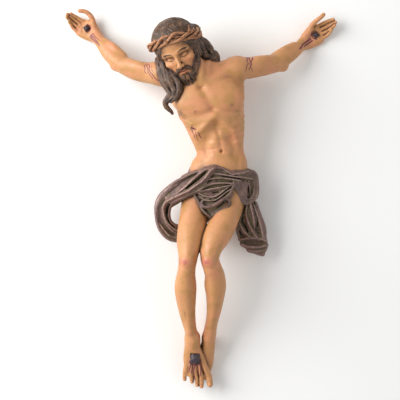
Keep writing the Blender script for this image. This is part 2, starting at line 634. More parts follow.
# %% [markdown]
# ## Hair and beard
# Carved hair is not made of hairs but of locks, and a lock is a strand with flutes along it, which a
# veining tool cuts. The flutes come from a wave round the strand, a little out of step from one end to
# the other so that they wander. The hair is a clay of its own, because it gets its own paint.


# %% A fluted lock
FOLLOWED = {"hair": [], "cloth": []}


def follow(rows, kind, place=BENCH):
    """Keeps a strand's rings, so that grain and brush strokes can run along it later."""
    FOLLOWED[kind].append(rings_of([list(row) for row in rows], place, 3.0))


def lock(clay, rows, blend, place=BENCH, flutes=9, depth=0.5, seed=0.0, edge=1.8, kind="hair"):
    """A strand whose surface is cut with flutes that run along it."""
    clay.strand(rows, blend, place, edge=edge)
    if kind:
        follow(rows, kind, place)
    at, wide, deep, u, w = rings_of(rows, place, 5.0)
    total = len(at) - 1
    turns = np.arange(flutes) * 2 * math.pi / flutes + seed
    for turn in turns:
        wander = turn + 0.5 * np.sin(np.arange(total + 1) * 0.55 + 3 * turn + seed)
        line = at + (np.cos(wander) * wide)[:, None] * u + (np.sin(wander) * deep)[:, None] * w
        if (line[:, 2] > at[:, 2] - 0.4 * deep).mean() < 0.5:
            continue
        groove(clay, line, 0.16 * float(np.mean(wide)) + 0.35, depth * 2)


def groove(clay, points, width, depth):
    """A round groove through points that lie on the surface."""
    reach = 2.6 * width
    near = clay.around(points, reach)
    apart = Clay(near.axes, np.full(near.field.shape, 1e6, np.float32))
    for start, end in zip(points, points[1:]):
        spot = apart.around(np.array([start, end]), reach)
        way = end - start
        square = float(way @ way) + 1e-9
        run, x, y, z = spot.dots(start, way / square, *np.eye(3))
        t = np.clip(run, 0, 1)
        off = sum((axis - t * np.float32(step)) ** 2 for axis, step in zip((x, y, z), way))
        np.minimum(spot.field, off, out=spot.field)
    near.field += np.float32(depth) * np.exp(-apart.field / np.float32(width**2))


# %% The combed cap
CAP_MIDDLE = Vector((0, 18, -12))
CAP_RADIUS = 50


def parting_of(x, y, z):
    """The angle round the head, the angle down from its top, and the sway of the waves."""
    round_head = np.arctan2(x, z)
    down = np.arctan2(np.hypot(x, z), y)
    sway = 0.16 * np.sin(9 * down + 2 * np.sin(3 * round_head)) + 0.06 * np.sin(21 * down + 5 * round_head)
    return round_head, down, sway


def comb_cap(clay):
    """Wavy furrows from the top of the head to the crown of thorns, and behind it to the nape."""
    centre = np.array(HEAD @ CAP_MIDDLE)
    near = clay.around(centre, 58)
    round_head, down, sway = parting_of(*near.dots(centre, *np.array(HEAD.to_3x3()).T))
    furrow = np.cos(34 * (round_head + sway)) + 0.5 * np.cos(79 * (round_head + sway) + 1.3)
    lowest = 1.75 + np.clip((abs(round_head) - 1.7) / 0.4, 0, 1)
    there = np.clip((down - 0.12) / 0.25, 0, 1) * np.clip((lowest - down) / 0.3, 0, 1)
    near.field += (0.62 * there * furrow).astype(np.float32)


def shape_cap(clay):
    clay.ball(CAP_MIDDLE, [CAP_RADIUS, CAP_RADIUS, CAP_RADIUS - 1], 1.5, HEAD)
    clay.ball([-13, 361, 110], [14, 14, 16], 6)
    clay.ball([0, -12, -24], [42, 40, 32], 5, HEAD)
    comb_cap(clay)


def shape_temples(clay):
    for side in (-1, 1):
        lock(clay, [
            [side * 3, 38, 27, 7, 6], [side * 16, 33, 27, 8, 7],
            [side * 30, 20, 20, 9, 8], [side * 38, 2, 9, 9, 8],
            [side * 39, -20, 4, 8, 8],
        ], 2, HEAD, seed=side)
    lock(clay, [[38, 12, -6, 10], [43, -12, -10, 11], [40, -30, -14, 9]], 3, HEAD)


def shape_long_lock(clay):
    lock(clay, [
        [-90, 300, 100, 7, 8], [-87, 288, 106, 8, 9], [-84, 273, 109, 9, 9], [-78, 254, 112, 9, 9],
        [-68, 237, 114, 9, 8], [-63, 226, 116, 8, 8], [-67, 217, 116, 7.5, 7], [-73, 209, 114, 6.5, 6.5],
        [-73, 200, 112, 6, 6], [-65, 191, 111, 5, 5], [-59, 185, 110, 3, 3],
    ], 1.5, seed=0.3)
    lock(clay, [
        [-82, 298, 110, 8, 8], [-76, 282, 114, 9, 8], [-69, 264, 117, 10, 8], [-60, 247, 119, 10, 8],
        [-53, 232, 120, 8.5, 8], [-56, 220, 119, 7, 7], [-65, 212, 117, 5.5, 6], [-72, 206, 115, 4, 4],
    ], 1.5, seed=1.1)
    lock(clay, [
        [-74, 280, 114, 6, 6], [-62, 268, 118, 8, 7], [-50, 256, 120, 8.5, 7], [-45, 243, 121, 8, 7],
        [-45, 230, 121, 7, 7], [-52, 217, 120, 6, 6], [-61, 209, 117, 4, 4],
    ], 1.5, seed=2.2)
    lock(clay, [
        [-74, 205, 114, 4.5, 5], [-71, 198, 113, 5, 5], [-66, 193, 112, 4.6, 5], [-61, 189, 111, 3.8, 4.4],
        [-59, 184, 110, 3, 3],
    ], 1.5, flutes=6, depth=0.4)


def shape_left_mass(clay):
    lock(clay, [
        [-8, 346, 104, 9, 11], [6, 337, 102, 11, 11], [17, 326, 99, 11, 11], [24, 314, 96, 9.5, 10],
        [30, 305, 95, 8.5, 9],
    ], 3, seed=0.5, flutes=11)
    lock(clay, [
        [-16, 340, 116, 8, 9], [-4, 327, 112, 10, 10], [6, 315, 107, 10, 10], [14, 308, 102, 8, 9],
        [22, 309, 98, 6, 7],
    ], 3, seed=1.5, flutes=11)
    lock(clay, [
        [-24, 326, 124, 7, 8], [-17, 314, 122, 8, 8], [-8, 309, 117, 8, 8], [2, 313, 112, 6, 7],
        [10, 318, 106, 4, 4],
    ], 3, seed=2.5)
    # the curl that ends the mass beside the neck
    lock(clay, [
        [22, 318, 94, 8, 9], [31, 314, 93, 8, 9], [36, 305, 92, 7.5, 9], [34, 294, 92, 7, 8],
        [26, 287, 93, 6.5, 8], [19, 289, 95, 5.5, 7], [18, 297, 98, 5, 6], [23, 303, 100, 4.5, 5],
    ], 2, seed=0.9, flutes=10)


# %% Beard
TUFT = [
    (0, 0, 0, 0.62), (0.9, 0.25, 0.3, 0.7), (1.7, 0.1, 0.35, 0.55),
    (2.2, -0.35, 0.2, 0.4), (2.3, -0.9, 0, 0.2),
]
ON_THE_CHIN = [(4, -43, 38, 1), (9.5, -45, 36, -1), (4, -50, 37, -1), (9, -53, 34, 1), (3.5, -57, 34, 1)]


def tuft(clay, at, lean, hook, size, seed):
    """A fluted beard lock that hangs from a place, leans to a side and hooks back at its tip."""
    x, y, z = at
    lock(clay, [
        [x + size * (lean * down + hook * side), y - size * down, z + size * out, 0.8 * size * wide]
        for down, side, out, wide in TUFT
    ], 0.9, HEAD, flutes=6, depth=0.32, seed=seed, edge=1.8)


def shape_beard(clay):
    for side in (-1, 1):
        lock(clay, [
            [side * 1.5, -24.8, 42.5, 2.6], [side * 7, -26.4, 41, 3.4], [side * 13, -30, 37.5, 3.5],
            [side * 16.5, -37, 33, 3], [side * 18, -44, 30, 2],
        ], 1.5, HEAD, flutes=7, depth=0.35, seed=side)
        clay.strand([
            [side * 36, -14, 9, 5, 6], [side * 32, -30, 13, 6, 7], [side * 25, -43, 19, 7, 7],
            [side * 16, -52, 25, 7, 7],
        ], 3, HEAD)
        clay.strand([[side * 8, -46, 32, 6], [side * 9, -54, 32, 6.5], [side * 7, -62, 31, 4.5]], 2, HEAD)
        for row in range(7):
            share = row / 6
            x = side * (35.5 - 23 * share)
            y = -8 - 40 * share
            z = 14 + 15 * math.sin(1.5 * share)
            turn = side * (-1) ** row
            tuft(clay, [x, y, z], -0.2 * side, turn, 5.4, row + side)
            tuft(clay, [x * 0.84, y - 3, z + 4.5], -0.15 * side, -turn, 4.8, row + 2 * side)
        for x, y, z, turn in ON_THE_CHIN:
            tuft(clay, [side * x, y, z], 0.05 * side, side * turn, 5, x * y)


# %% Model the hair
started = time.time()
hair = flesh.block([-120, 170, 40], [60, 420, 192]).empty()
shape_cap(hair)
shape_temples(hair)
shape_long_lock(hair)
shape_left_mass(hair)
shape_beard(hair)
print(f"hair modelled in {time.time() - started:.0f} s")

# %% [markdown]
# ## The loincloth
# The cloth is carved too, so it is modelled like the hair: a wrap round the hips, a wide sash that
# loops out in the air at the right hip, a knot with a loop of its own at the left hip, and the end
# that hangs from it. Gouges leave sharp crests with hollow flanks, so a crest has an edge number below
# 1, a rolled hem has one near 1.3, and both flow into the cloth with a wide fillet. Round the seat,
# where nobody looks, the cloth is one thin layer over the flesh.


# %% Crests
def crest(clay, rows, blend=3.0):
    """The crest of a fold: narrow on top, with hollow flanks that flare out into the valleys."""
    raised = [[x, y, z - 4, 2 * wide, deep + 5.5] for x, y, z, wide, deep in rows]
    clay.strand(raised, blend, edge=0.85)
    follow(rows, "cloth")


# %% Sash
RIMS = {
    "outer": [
        [26, 66, 98, 4, 5], [8, 64, 99, 4, 6], [-9, 58, 99, 4, 6], [-23, 53, 96, 4, 7], [-38, 46, 90, 4, 7],
        [-55, 37, 82, 4, 7], [-71, 25, 74, 4, 7], [-85, 12, 66, 4, 7], [-93, -2, 60, 4, 8],
        [-96, -15, 57, 4, 9], [-96, -28, 54, 4, 9], [-94, -43, 51, 4, 9], [-90, -58, 47, 4.4, 9],
        [-83, -71, 43, 4.4, 8], [-73, -82, 40, 4.4, 8], [-60, -88, 36, 4.4, 8], [-44, -88, 31, 5, 8],
        [-24, -80, 26, 5, 8],
    ],
    "middle": [
        [30, 68, 103, 3.5, 5], [12, 64, 108, 3.8, 6], [0, 57, 109, 4, 7], [-11, 47, 107, 4, 7],
        [-21, 38, 103, 4, 7], [-31, 28, 98, 3.8, 7], [-42, 19, 92, 3.6, 6], [-53, 12, 85, 3, 5],
    ],
    "inner": [
        [42, 68, 101, 4, 5], [28, 66, 109, 4.6, 6], [19, 58, 113, 4.6, 8], [12, 48, 114, 4.8, 8],
        [2, 38, 113, 4.8, 8], [-11, 29, 110, 4.8, 8], [-24, 20, 105, 4.8, 8], [-37, 14, 100, 4.8, 8],
        [-50, 8, 94, 4.6, 8], [-62, 2, 88, 4.6, 8], [-72, -4, 82, 4.4, 8], [-78, -13, 76, 4.4, 8],
        [-79, -24, 70, 4.2, 8], [-77, -36, 65, 4, 8], [-72, -47, 60, 4, 7], [-64, -57, 54, 4, 6],
        [-54, -65, 48, 4, 6], [-42, -70, 42, 4, 6],
    ],
    "lower": [
        [30, 40, 105, 3.6, 5], [13, 31, 106, 4, 7], [-2, 21, 103, 4.4, 8], [-17, 14, 97, 4.4, 8],
        [-32, 7, 90, 4.4, 8], [-46, 1, 83, 4.4, 8], [-57, -4, 77, 4.4, 8], [-64, -12, 71, 4.2, 8],
        [-67, -22, 66, 4.2, 8], [-68, -34, 61, 4.2, 8], [-65, -46, 56, 4.2, 8], [-56, -55, 48, 4.2, 8],
        [-44, -58, 42, 4.4, 8], [-28, -56, 36, 5, 8],
    ],
}


def between(first, second, share):
    """A line part of the way from one crest to another, both read at even steps along them."""
    def spread(rows):
        line = ease([row[:3] for row in rows], 4.0)
        far = np.append(0, np.cumsum(np.linalg.norm(np.diff(line, axis=0), axis=1)))
        steps = np.linspace(0, far[-1], 24)
        return np.stack([np.interp(steps, far, line[:, axis]) for axis in range(3)], axis=1)
    return ((1 - share) * spread(first) + share * spread(second)).tolist()


def shape_sash(clay):
    clay.strand([
        [38, 54, 92, 14, 8, 10], [14, 47, 95, 17, 8, 6], [-10, 37, 92, 20, 7, 0], [-36, 23, 83, 21, 7, -10],
        [-58, 8, 74, 21, 7, -20], [-76, -9, 64, 18, 7, -25], [-81, -30, 55, 15, 7, -16],
        [-79, -50, 47, 15, 7, -10], [-67, -67, 38, 17, 8, 0], [-47, -75, 32, 17, 8, 0],
        [-24, -72, 27, 15, 8, 0],
    ], 2)
    clay.strand([[12, 40, 100, 7, 6], [-4, 27, 97, 8, 6], [-20, 18, 91, 8, 6]], 3)
    clay.strand(RIMS["outer"], 5, edge=1.3)
    clay.strand(RIMS["lower"], 5, edge=1.3)
    for rim in ("outer", "lower"):
        follow(RIMS[rim], "cloth")
    crest(clay, RIMS["middle"])
    crest(clay, RIMS["inner"])
    # the cloth turns over at the lower bend
    for turned in (
        [[-92, -46, 51, 3, 5], [-84, -57, 51, 3.6, 6], [-76, -68, 48, 3.6, 6], [-66, -78, 43, 3.6, 6],
         [-52, -83, 37, 3, 5]],
        [[-75, -50, 57, 3, 5], [-67, -60, 52, 3.6, 6], [-58, -69, 46, 3.4, 6], [-44, -75, 40, 3, 5]],
    ):
        crest(clay, turned)
    outer, middle, inner, lower = RIMS.values()
    clay.press(between(outer[2:8], middle[2:], 0.5), 4, 4)
    clay.press(between(middle[1:], inner[2:10], 0.5), 3, 3.4)
    clay.press(between(outer[8:16], inner[9:17], 0.5), 4.6, 3.6)
    clay.press(between(inner[5:16], lower[3:12], 0.5), 3, 2.6)
    for share, depth in ((0.25, -0.7), (0.45, 0.9), (0.62, -0.6), (0.8, 0.8)):
        clay.press(between(outer[6:12], inner[9:14], share), 1.5, depth)
        clay.press(between(inner[5:12], lower[3:9], share), 1.3, 0.8 * depth)
        clay.press(between(outer[1:7], middle[1:7], share), 1.4, depth)


# %% Wrap
FRONT_FOLDS = [
    [[26, 68, 98, 4, 5], [47, 68, 97, 4, 6], [58, 61, 98, 4, 6], [67, 55, 96, 4, 6], [84, 56, 89, 4, 6],
     [99, 60, 78, 3, 5], [108, 61, 68, 2, 4]],
    [[32, 56, 103, 3.6, 5], [44, 55, 104, 3.8, 6], [56, 53, 102, 3.6, 6], [77, 50, 95, 3.6, 6],
     [97, 48, 81, 3.6, 6], [112, 46, 66, 3.6, 6]],
    [[20, 44, 107, 3.6, 5], [42, 47, 105, 4, 6], [64, 45, 100, 3.6, 6], [82, 42, 93, 3.4, 5]],
    [[12, 29, 106, 3.6, 5], [30, 35, 107, 4, 6], [51, 36, 104, 4, 6], [72, 35, 97, 3.4, 5]],
    [[4, 19, 103, 3.6, 5], [26, 24, 105, 4, 6], [46, 27, 104, 3.6, 6], [62, 31, 100, 3.2, 5],
     [73, 34, 95, 3, 4]],
]


LAYER = 1.8


def shape_seat(clay):
    """On the seat and the hips the cloth is one layer over the flesh, with a hem above and below."""
    clay.field[...] = np.maximum(clay.field, 50 - clay.axes[2][None, None, :])
    skin = flesh.block([-120, -140, -6], [170, 100, 150])
    x, y, z = skin.dots((0, 0, 0), (1, 0, 0), (0, 1, 0), (0, 0, 1))
    above = y - 57 - 0.08 * x - 1.2 * np.sin(x / 8)
    below = np.maximum(z - 12, 0) + 0.008 * (x - 27) ** 2 - 46 - y + 1.5 * np.sin((x + z) / 7)
    layer = np.maximum(np.maximum(skin.field - LAYER, above), np.maximum(below, z - 66))
    clay.join(Clay(clay.axes, layer.astype(np.float32)), 0.8)
    for lift in (16, 34, 52):
        sides = 16 + 0.3 * lift
        clay.press([
            [-30, sides + 4, 30], [0, lift - 30, 12], [27, lift - 36, 2], [60, lift - 30, 8], [90, sides, 32],
        ], 3, -1)


def shape_wrap(clay):
    clay.strand([
        [27, 4, 46, 67, 47.4], [35, 33, 48, 68, 51.4], [41, 51, 52, 65.5, 48.4], [43, 58, 54, 61, 44.9],
        [43.5, 64, 55, 54, 38.4],
    ], 1.5, step=9)
    shape_seat(clay)
    for fold in FRONT_FOLDS:
        crest(clay, fold)
    clay.strand([[62, 56, 90, 7, 7], [84, 60, 80, 8, 8], [104, 62, 64, 7, 8]], 3)
    clay.strand([[84, 38, 86, 6, 6], [98, 34, 76, 7, 7]], 3)
    clay.strand([[-37, 50, 76, 4, 6], [-24, 56, 83, 4, 6], [-8, 59, 90, 4, 6]], 3, edge=1.6)
    for upper, lower in zip(FRONT_FOLDS, FRONT_FOLDS[1:]):
        clay.press(between(upper[-4:], lower[1:], 0.5), 2.6, 1.6)
        for share, depth in ((0.3, 0.5), (0.7, 0.5)):
            clay.press(between(upper[-5:], lower, share), 1.3, depth)
    clay.press([[14, 37, 110], [28, 42, 109], [38, 42, 108]], 2.2, 2.4)
    clay.press([[8, 24, 106], [22, 29, 108], [36, 30, 107]], 1.8, 1.6)


# %% Shield
def shape_shield(clay):
    clay.strand([
        [20, 8, 84, 32, 17], [22, -8, 83, 27, 17], [24, -20, 81, 19, 17], [24, -31, 78, 8, 17],
    ], 3)
    clay.strand([[66, 12, 86, 6, 12], [52, -8, 86, 7, 14], [36, -24, 86, 6, 16]], 3)
    # sagging folds, then the rolled hem whose two ends curl up
    for drop, side in ((0, 0), (8, 3)):
        crest(clay, [
            [-2 + side, 14 - drop, 99, 2, 4], [14, 7 - drop, 102, 2.2, 5], [30, 7 - drop, 103, 2.2, 5],
            [43, 14 - drop, 103, 2.2, 5], [55, 24 - drop, 102, 2.2, 5], [64, 30 - drop, 98, 2, 4],
        ])
    clay.strand([
        [70, 28, 97, 3, 5], [63, 13, 101, 3.8, 6], [49, 1, 105, 4.2, 7], [34, -9, 107, 4.4, 7],
        [19, -15, 107, 4.4, 7], [9, -14, 105, 4, 6], [4, -7, 103, 3.6, 5], [7, -1, 103, 3, 4],
        [17, 1, 103, 2.6, 3],
    ], 2.5, edge=1.4)
    clay.strand([
        [46, -1, 103, 3, 5], [57, 2, 103, 3.2, 5], [63, -3, 101, 3.4, 5], [62, -11, 100, 3.4, 5],
        [53, -17, 100, 3.4, 5], [40, -24, 99, 3.2, 5], [24, -35, 96, 3, 5],
    ], 2.5, edge=1.4)
    clay.strand([
        [-11, 10, 92, 3, 6], [-3, -4, 97, 3.4, 7], [4, -18, 99, 3.4, 7], [13, -29, 98, 3.4, 7],
        [22, -36, 95, 3.2, 6],
    ], 2.5, edge=1.4)
    clay.press([[9, -6, 104], [18, -6, 105], [28, -2, 106]], 3, 3.2)
    clay.press([[50, -6, 104], [57, -5, 103]], 3, 3)


# %% Knot and loop
def shape_knot(clay):
    clay.ball([76, 33, 89], [8, 9, 8], 3)
    clay.strand([[75, 43, 94, 3, 5], [72, 35, 97, 3.4, 6], [75, 27, 93, 3, 5]], 3, edge=1.4)
    clay.strand([
        [80, 50, 84, 6, 7], [97, 57, 75, 6, 7], [112, 58, 64, 6, 7], [119, 48, 58, 5, 8], [122, 32, 55, 5, 8],
        [121, 14, 56, 5, 8], [114, 3, 60, 5, 8], [104, -3, 65, 5, 8], [95, 0, 71, 5, 8], [88, 10, 77, 5, 7],
        [80, 26, 84, 5, 6],
    ], 2)
    clay.strand([
        [82, 53, 90, 3.6, 6], [99, 60, 79, 3.6, 6], [113, 62, 67, 3.6, 6], [122, 55, 61, 3.6, 7],
        [125, 40, 58, 3.6, 8], [126, 21, 57, 3.6, 8], [123, 7, 60, 3.6, 8], [115, -1, 64, 3.6, 7],
        [106, -7, 68, 3.6, 7], [97, -8, 73, 3.6, 6], [89, -3, 77, 3.6, 6], [83, 11, 82, 3.6, 6],
        [77, 26, 89, 3.4, 5],
    ], 3.5, edge=1.3)
    clay.strand([
        [100, 50, 76, 3, 5], [112, 52, 67, 3.2, 6], [117, 40, 64, 3.2, 6], [118, 22, 63, 3.2, 6],
        [114, 7, 66, 3.2, 6], [106, 1, 71, 3.2, 6], [98, 5, 76, 3.2, 6], [90, 17, 82, 3.2, 5],
        [82, 29, 88, 3, 5],
    ], 3.5, edge=1.3)
    clay.strand([[86, 42, 76, 12, 8], [97, 40, 66, 16, 8], [105, 28, 56, 16, 9], [104, 10, 56, 13, 9]], 3)
    clay.strand([[86, 34, 82, 7, 6], [92, 22, 77, 9, 7], [96, 10, 70, 8, 7]], 3)
    for x, top, foot in ((90, 38, 12), (97, 42, 10), (105, 40, 8)):
        height = 88 - 0.9 * (x - 86)
        half_way = (top + foot) / 2
        crest(clay, [
            [x, top, height, 2, 5], [x + 3, half_way, height - 5, 2.4, 5], [x + 4, foot, height - 9, 2, 5],
        ])


# %% Hanging end
TAIL = [
    [[94, -12, 60, 4, 6], [91, -28, 58, 4, 6], [86, -46, 55, 4, 6], [82, -62, 51, 4, 6],
     [85, -77, 47, 4, 6], [91, -90, 43, 4, 6], [102, -102, 40, 4, 6], [117, -112, 37, 4, 6],
     [129, -118, 35, 4, 6], [138, -120, 34, 4, 6]],
    [[102, -14, 63, 3.4, 6], [100, -30, 62, 4, 7], [104, -46, 62, 4, 7], [110, -60, 60, 4, 7],
     [118, -74, 55, 4, 7], [126, -84, 51, 3.4, 6]],
    [[109, -8, 65, 3.4, 6], [113, -26, 65, 4, 7], [117, -43, 61, 4, 7], [118, -57, 57, 3, 5]],
    [[117, -12, 59, 3.4, 6], [123, -28, 57, 3.8, 7], [130, -48, 54, 3.8, 7], [135, -68, 50, 3.6, 6],
     [138, -84, 46, 3, 5]],
    [[121, -6, 56, 4, 6], [127, -22, 52, 4, 6], [134, -40, 48, 4, 6], [140, -56, 44, 4, 6],
     [142, -73, 41, 4, 6], [141, -88, 39, 4, 6], [146, -101, 37, 4, 6], [142, -112, 35, 4, 6],
     [138, -119, 34, 4, 6]],
]
TAIL_HEM = [
    [[86, -50, 58, 3, 5], [95, -66, 57, 3.6, 6], [107, -79, 54, 3.4, 6], [118, -85, 51, 3, 5]],
    [[90, -86, 48, 3, 5], [105, -83, 52, 4, 6], [122, -83, 52, 4, 6], [136, -86, 47, 3.6, 6],
     [143, -90, 42, 3, 5]],
    [[93, -97, 45, 3, 5], [110, -102, 48, 4, 6], [128, -103, 46, 4, 6], [144, -100, 39, 3.4, 5]],
    [[108, -110, 42, 3, 5], [124, -112, 42, 3.4, 5], [140, -110, 37, 3, 5]],
]


def shape_tail(clay):
    clay.strand([
        [104, 14, 46, 16, 9], [104, -8, 46, 18, 9], [107, -34, 44, 24, 9], [112, -58, 41, 30, 9],
        [117, -80, 37, 30, 9], [124, -98, 34, 25, 8], [132, -110, 31, 14, 7],
    ], 3)
    for edge in (TAIL[0], TAIL[-1]):
        clay.strand(edge, 4.5, edge=1.3)
        follow(edge, "cloth")
    for fold in TAIL[1:-1] + TAIL_HEM:
        crest(clay, fold)
    clay.press([[92, -92, 50], [112, -91, 51], [134, -94, 44]], 3, 3.4)
    for first, second in zip(TAIL, TAIL[1:]):
        for share, depth in ((0.35, 0.7), (0.5, -0.4), (0.65, 0.7)):
            clay.press(between(first[:6], second[:6], share), 1.3, depth)


# %% Model the cloth
started = time.time()
cloth = flesh.block([-120, -140, -6], [170, 100, 150]).empty()
shape_wrap(cloth)
shape_sash(cloth)
shape_shield(cloth)
shape_knot(cloth)
shape_tail(cloth)
print(f"cloth modelled in {time.time() - started:.0f} s")

# %% [markdown]
# ## The crown of thorns
# The crown is four real branches twisted into a rope and let into the hair. It is modelled on a finer
# grid of its own, because a branch is only a few shares thick. The same branches are modelled once
# more on the figure's grid, and the clay there is cut away a little wider: that is the carved seat.

# %% Branches
RING = {"centre": (0, 21, -12), "across": 54, "deep": 51, "rise": 20, "tilt": 4}
TWIG = 3.4
BRANCHES = 4
TWISTS = 3
SPREAD_OUT = 1.2
SPREAD_UP = 2.5
UPWARD = np.array(HEAD.to_3x3() @ Vector((0, 1, 0)))


def branch_point(branch, angle):
    """A point on the middle line of a branch, and the way out from the head there."""
    out = Vector((math.sin(angle), 0, math.cos(angle)))
    sway = 1.6 * math.sin(3 * angle + 1)
    rise = sway + RING["rise"] * out.z - RING["tilt"] * out.x
    ring = Vector((RING["across"] * out.x, rise, RING["deep"] * out.z))
    place = np.array(HEAD @ (ring + Vector(RING["centre"])))
    aside = np.array(HEAD.to_3x3() @ out)
    turn = TWISTS * angle + branch * 2 * math.pi / BRANCHES + 0.5 * math.sin(2 * angle + branch)
    spread = TWIG * (0.85 + 0.25 * math.sin(5 * angle + 2 * branch))
    return place + spread * (SPREAD_OUT * math.cos(turn) * aside + SPREAD_UP * math.sin(turn) * UPWARD), aside


def shape_branches(clay, fine=True):
    chance = np.random.default_rng(8)
    for branch in range(BRANCHES):
        angles = np.linspace(0, 2 * math.pi, 73)
        knots = chance.uniform(0, 2 * math.pi, 9)
        rows = []
        for angle in angles:
            bump = sum(math.exp(-((math.remainder(angle - k, 2 * math.pi) / 0.06) ** 2)) for k in knots)
            radius = TWIG * (0.94 + 0.05 * math.sin(9 * angle + 3 * branch)) + 0.8 * bump * fine
            rows.append([*branch_point(branch, angle)[0], radius])
        if fine:
            lock(clay, rows, 0.6, flutes=7, depth=0.22, seed=branch, edge=2, kind=None)
        else:
            clay.strand(rows, 0.6)


def shape_thorns(clay):
    thorns = [
        (2 * math.pi * n / 16, n % BRANCHES, 1.1 * math.sin(2.4 * n + 0.6), 0.9 * math.cos(1.7 * n),
         11 * (1 + 0.25 * math.sin(5 * n)), 2, 0.15)
        for n in range(16)
    ]
    # one long, thick and blunt thorn stands up at the left temple
    thorns.append((0.92, 0, 1.6, 0, 23.1, 3.6, 0.5))
    for angle, branch, lift, lean, length, thick, blunt in thorns:
        place, aside = branch_point(branch, angle)
        way = aside + lift * UPWARD + lean * np.cross(aside, UPWARD)
        way /= np.linalg.norm(way)
        bend = 0.05 * length * np.cross(way, aside)
        clay.strand([
            [*(place + share * length * way + bend * math.sin(3 * share)), thick * (1 - (1 - blunt) * share)]
            for share in (0, 0.3, 0.6, 1)
        ], 1, step=3)


# %% Model the crown
started = time.time()
twig_cell = 0.55
crown_middle = HEAD @ Vector(RING["centre"])
crown_reach = (76, 70, 74)
crown = Clay([
    np.arange(middle - reach, middle + reach, twig_cell, dtype=np.float32)
    for middle, reach in zip(crown_middle, crown_reach)
])
shape_branches(crown)
shape_thorns(crown)
print(f"crown modelled in {time.time() - started:.0f} s on {crown.field.size / 1e6:.1f} million points")

# %% [markdown]
# ## Bringing the clay together
# Hair and cloth meet the skin in a narrow fillet, like a carved edge that has had gesso and paint run
# into it. Then the seat of the crown and the holes of the nails are cut, and the back is planed flat
# at the height of the cross's face.

# %% Join, cut and plane
NAIL_HEAD = {"hand": 12.6, "feet": 20.5}
NAILS = {
    "nail_right_hand": ((-252, 382, 15.5), NAIL_HEAD["hand"], 1, 35),
    "nail_left_hand": ((258, 367, 15.5), NAIL_HEAD["hand"], 1, 41),
    "nail_feet": ((-11, -346, 57), NAIL_HEAD["feet"], 1.08, -3),
}
SHANK = 4.0
ROOM = 0.3


def cut(clay, lump, room):
    """Takes a lump away from the clay, with some room all round."""
    np.maximum(clay.field, np.float32(room) - lump.field, out=clay.field)


def nail_hole(clay, at, head, stretch, turn):
    place = place_at(at, turn, 0, 0)
    near = clay.block((at[0] - 20, at[1] - 20, -10), (at[0] + 20, at[1] + 20, at[2] + 20))
    x, y, z = near.dots(at, *np.array(place.to_3x3()).T)
    across = np.maximum(abs(x), abs(y / stretch))
    shank = np.maximum(across - SHANK / 2, z)
    sunk = np.maximum(across - head / 2, -z)
    cut(near, Clay(near.axes, np.minimum(shank, sunk)), ROOM)


FILLET = 1.2
figure = flesh.twin()
for part in (hair, cloth):
    corner = [axis[0] for axis in part.axes]
    spot = tuple(np.searchsorted(axis, a) for axis, a in zip(figure.axes, corner))
    window = tuple(slice(s, s + n) for s, n in zip(spot, part.field.shape))
    Clay(part.axes, figure.field[window]).join(part, FILLET)

seat = figure.block([-125, 230, 40], [65, 420, 192])
branches = seat.empty()
shape_branches(branches, fine=False)
shape_thorns(branches)
cut(seat, branches, ROOM)
for nail in NAILS.values():
    nail_hole(figure, *nail)
np.maximum(figure.field, -figure.axes[2][None, None, :], out=figure.field)
print(f"figure joined: {(figure.field < 0).sum() / 1e6:.1f} million grid points are wood")

# %% [markdown]
# ## From clay to faces
# The surface runs where the field changes its sign. One point is set in every grid cube that the
# surface crosses, at the middle of its crossings, and every crossed grid line gives a face between the
# four cubes round it. Blender's voxel remesh does much the same, but with one spacing for the whole
# figure, and here the face and the hands are on a finer one.

# %% Surface of a clay
CORNERS = [(i, j, k) for i in (0, 1) for j in (0, 1) for k in (0, 1)]


def surface_of(clay):
    """Points and four-sided faces of the surface of a clay."""
    field = clay.field
    inside = field < 0
    count = np.array(field.shape) - 1
    filled = np.zeros(count, np.uint8)
    for i, j, k in CORNERS:
        filled += inside[i : i + count[0], j : j + count[1], k : k + count[2]]
    cubes = np.flatnonzero((filled > 0) & (filled < 8))
    at = np.stack(np.unravel_index(cubes, count), axis=1)
    total = np.zeros((len(cubes), 3))
    hits = np.zeros(len(cubes))
    for axis in range(3):
        step = np.eye(3, dtype=int)[axis]
        for corner in CORNERS:
            if corner[axis] == 0:
                start = at + corner
                a = field[tuple(start.T)]
                b = field[tuple((start + step).T)]
                crossed = (a < 0) != (b < 0)
                share = a[crossed] / (a[crossed] - b[crossed])
                total[crossed] += start[crossed] + share[:, None] * step
                hits += crossed
    total /= hits[:, None]
    points = np.stack([np.interp(total[:, n], np.arange(len(a)), a) for n, a in enumerate(clay.axes)], axis=1)
    faces = []
    for axis in range(3):
        step, side, other = (np.eye(3, dtype=int)[(axis + n) % 3] for n in range(3))
        core = inside[1:-1, 1:-1, 1:-1]
        ahead = tuple(slice(1 + s, n - 1 + s) for s, n in zip(step, inside.shape))
        spots = np.argwhere(core != inside[ahead]) + 1
        ring = [spots, spots - side, spots - side - other, spots - other]
        numbers = [np.ravel_multi_index(tuple(cube.T), count) for cube in ring]
        quads = np.stack([np.searchsorted(cubes, number) for number in numbers], axis=1)
        outward = inside[tuple(spots.T)]
        faces.append(np.where(outward[:, None], quads, quads[:, ::-1]))
    return points, np.concatenate(faces)


def reading(clay, points):
    """The clay's field at any points, read between its grid points. Outside the grid it only grows."""
    spots = [
        np.clip(np.interp(points[:, n], axis, np.arange(len(axis))), 0, len(axis) - 1.001)
        for n, axis in enumerate(clay.axes)
    ]
    lower = [spot.astype(int) for spot in spots]
    total = np.zeros(len(points))
    for corner in CORNERS:
        weight = np.ones(len(points))
        for spot, low, c in zip(spots, lower, corner):
            weight *= (spot - low) if c else 1 - (spot - low)
        total += weight * clay.field[tuple(low + c for low, c in zip(lower, corner))]
    held = np.stack([np.clip(points[:, n], axis[0], axis[-1]) for n, axis in enumerate(clay.axes)], axis=1)
    return total + np.linalg.norm(points - held, axis=1)


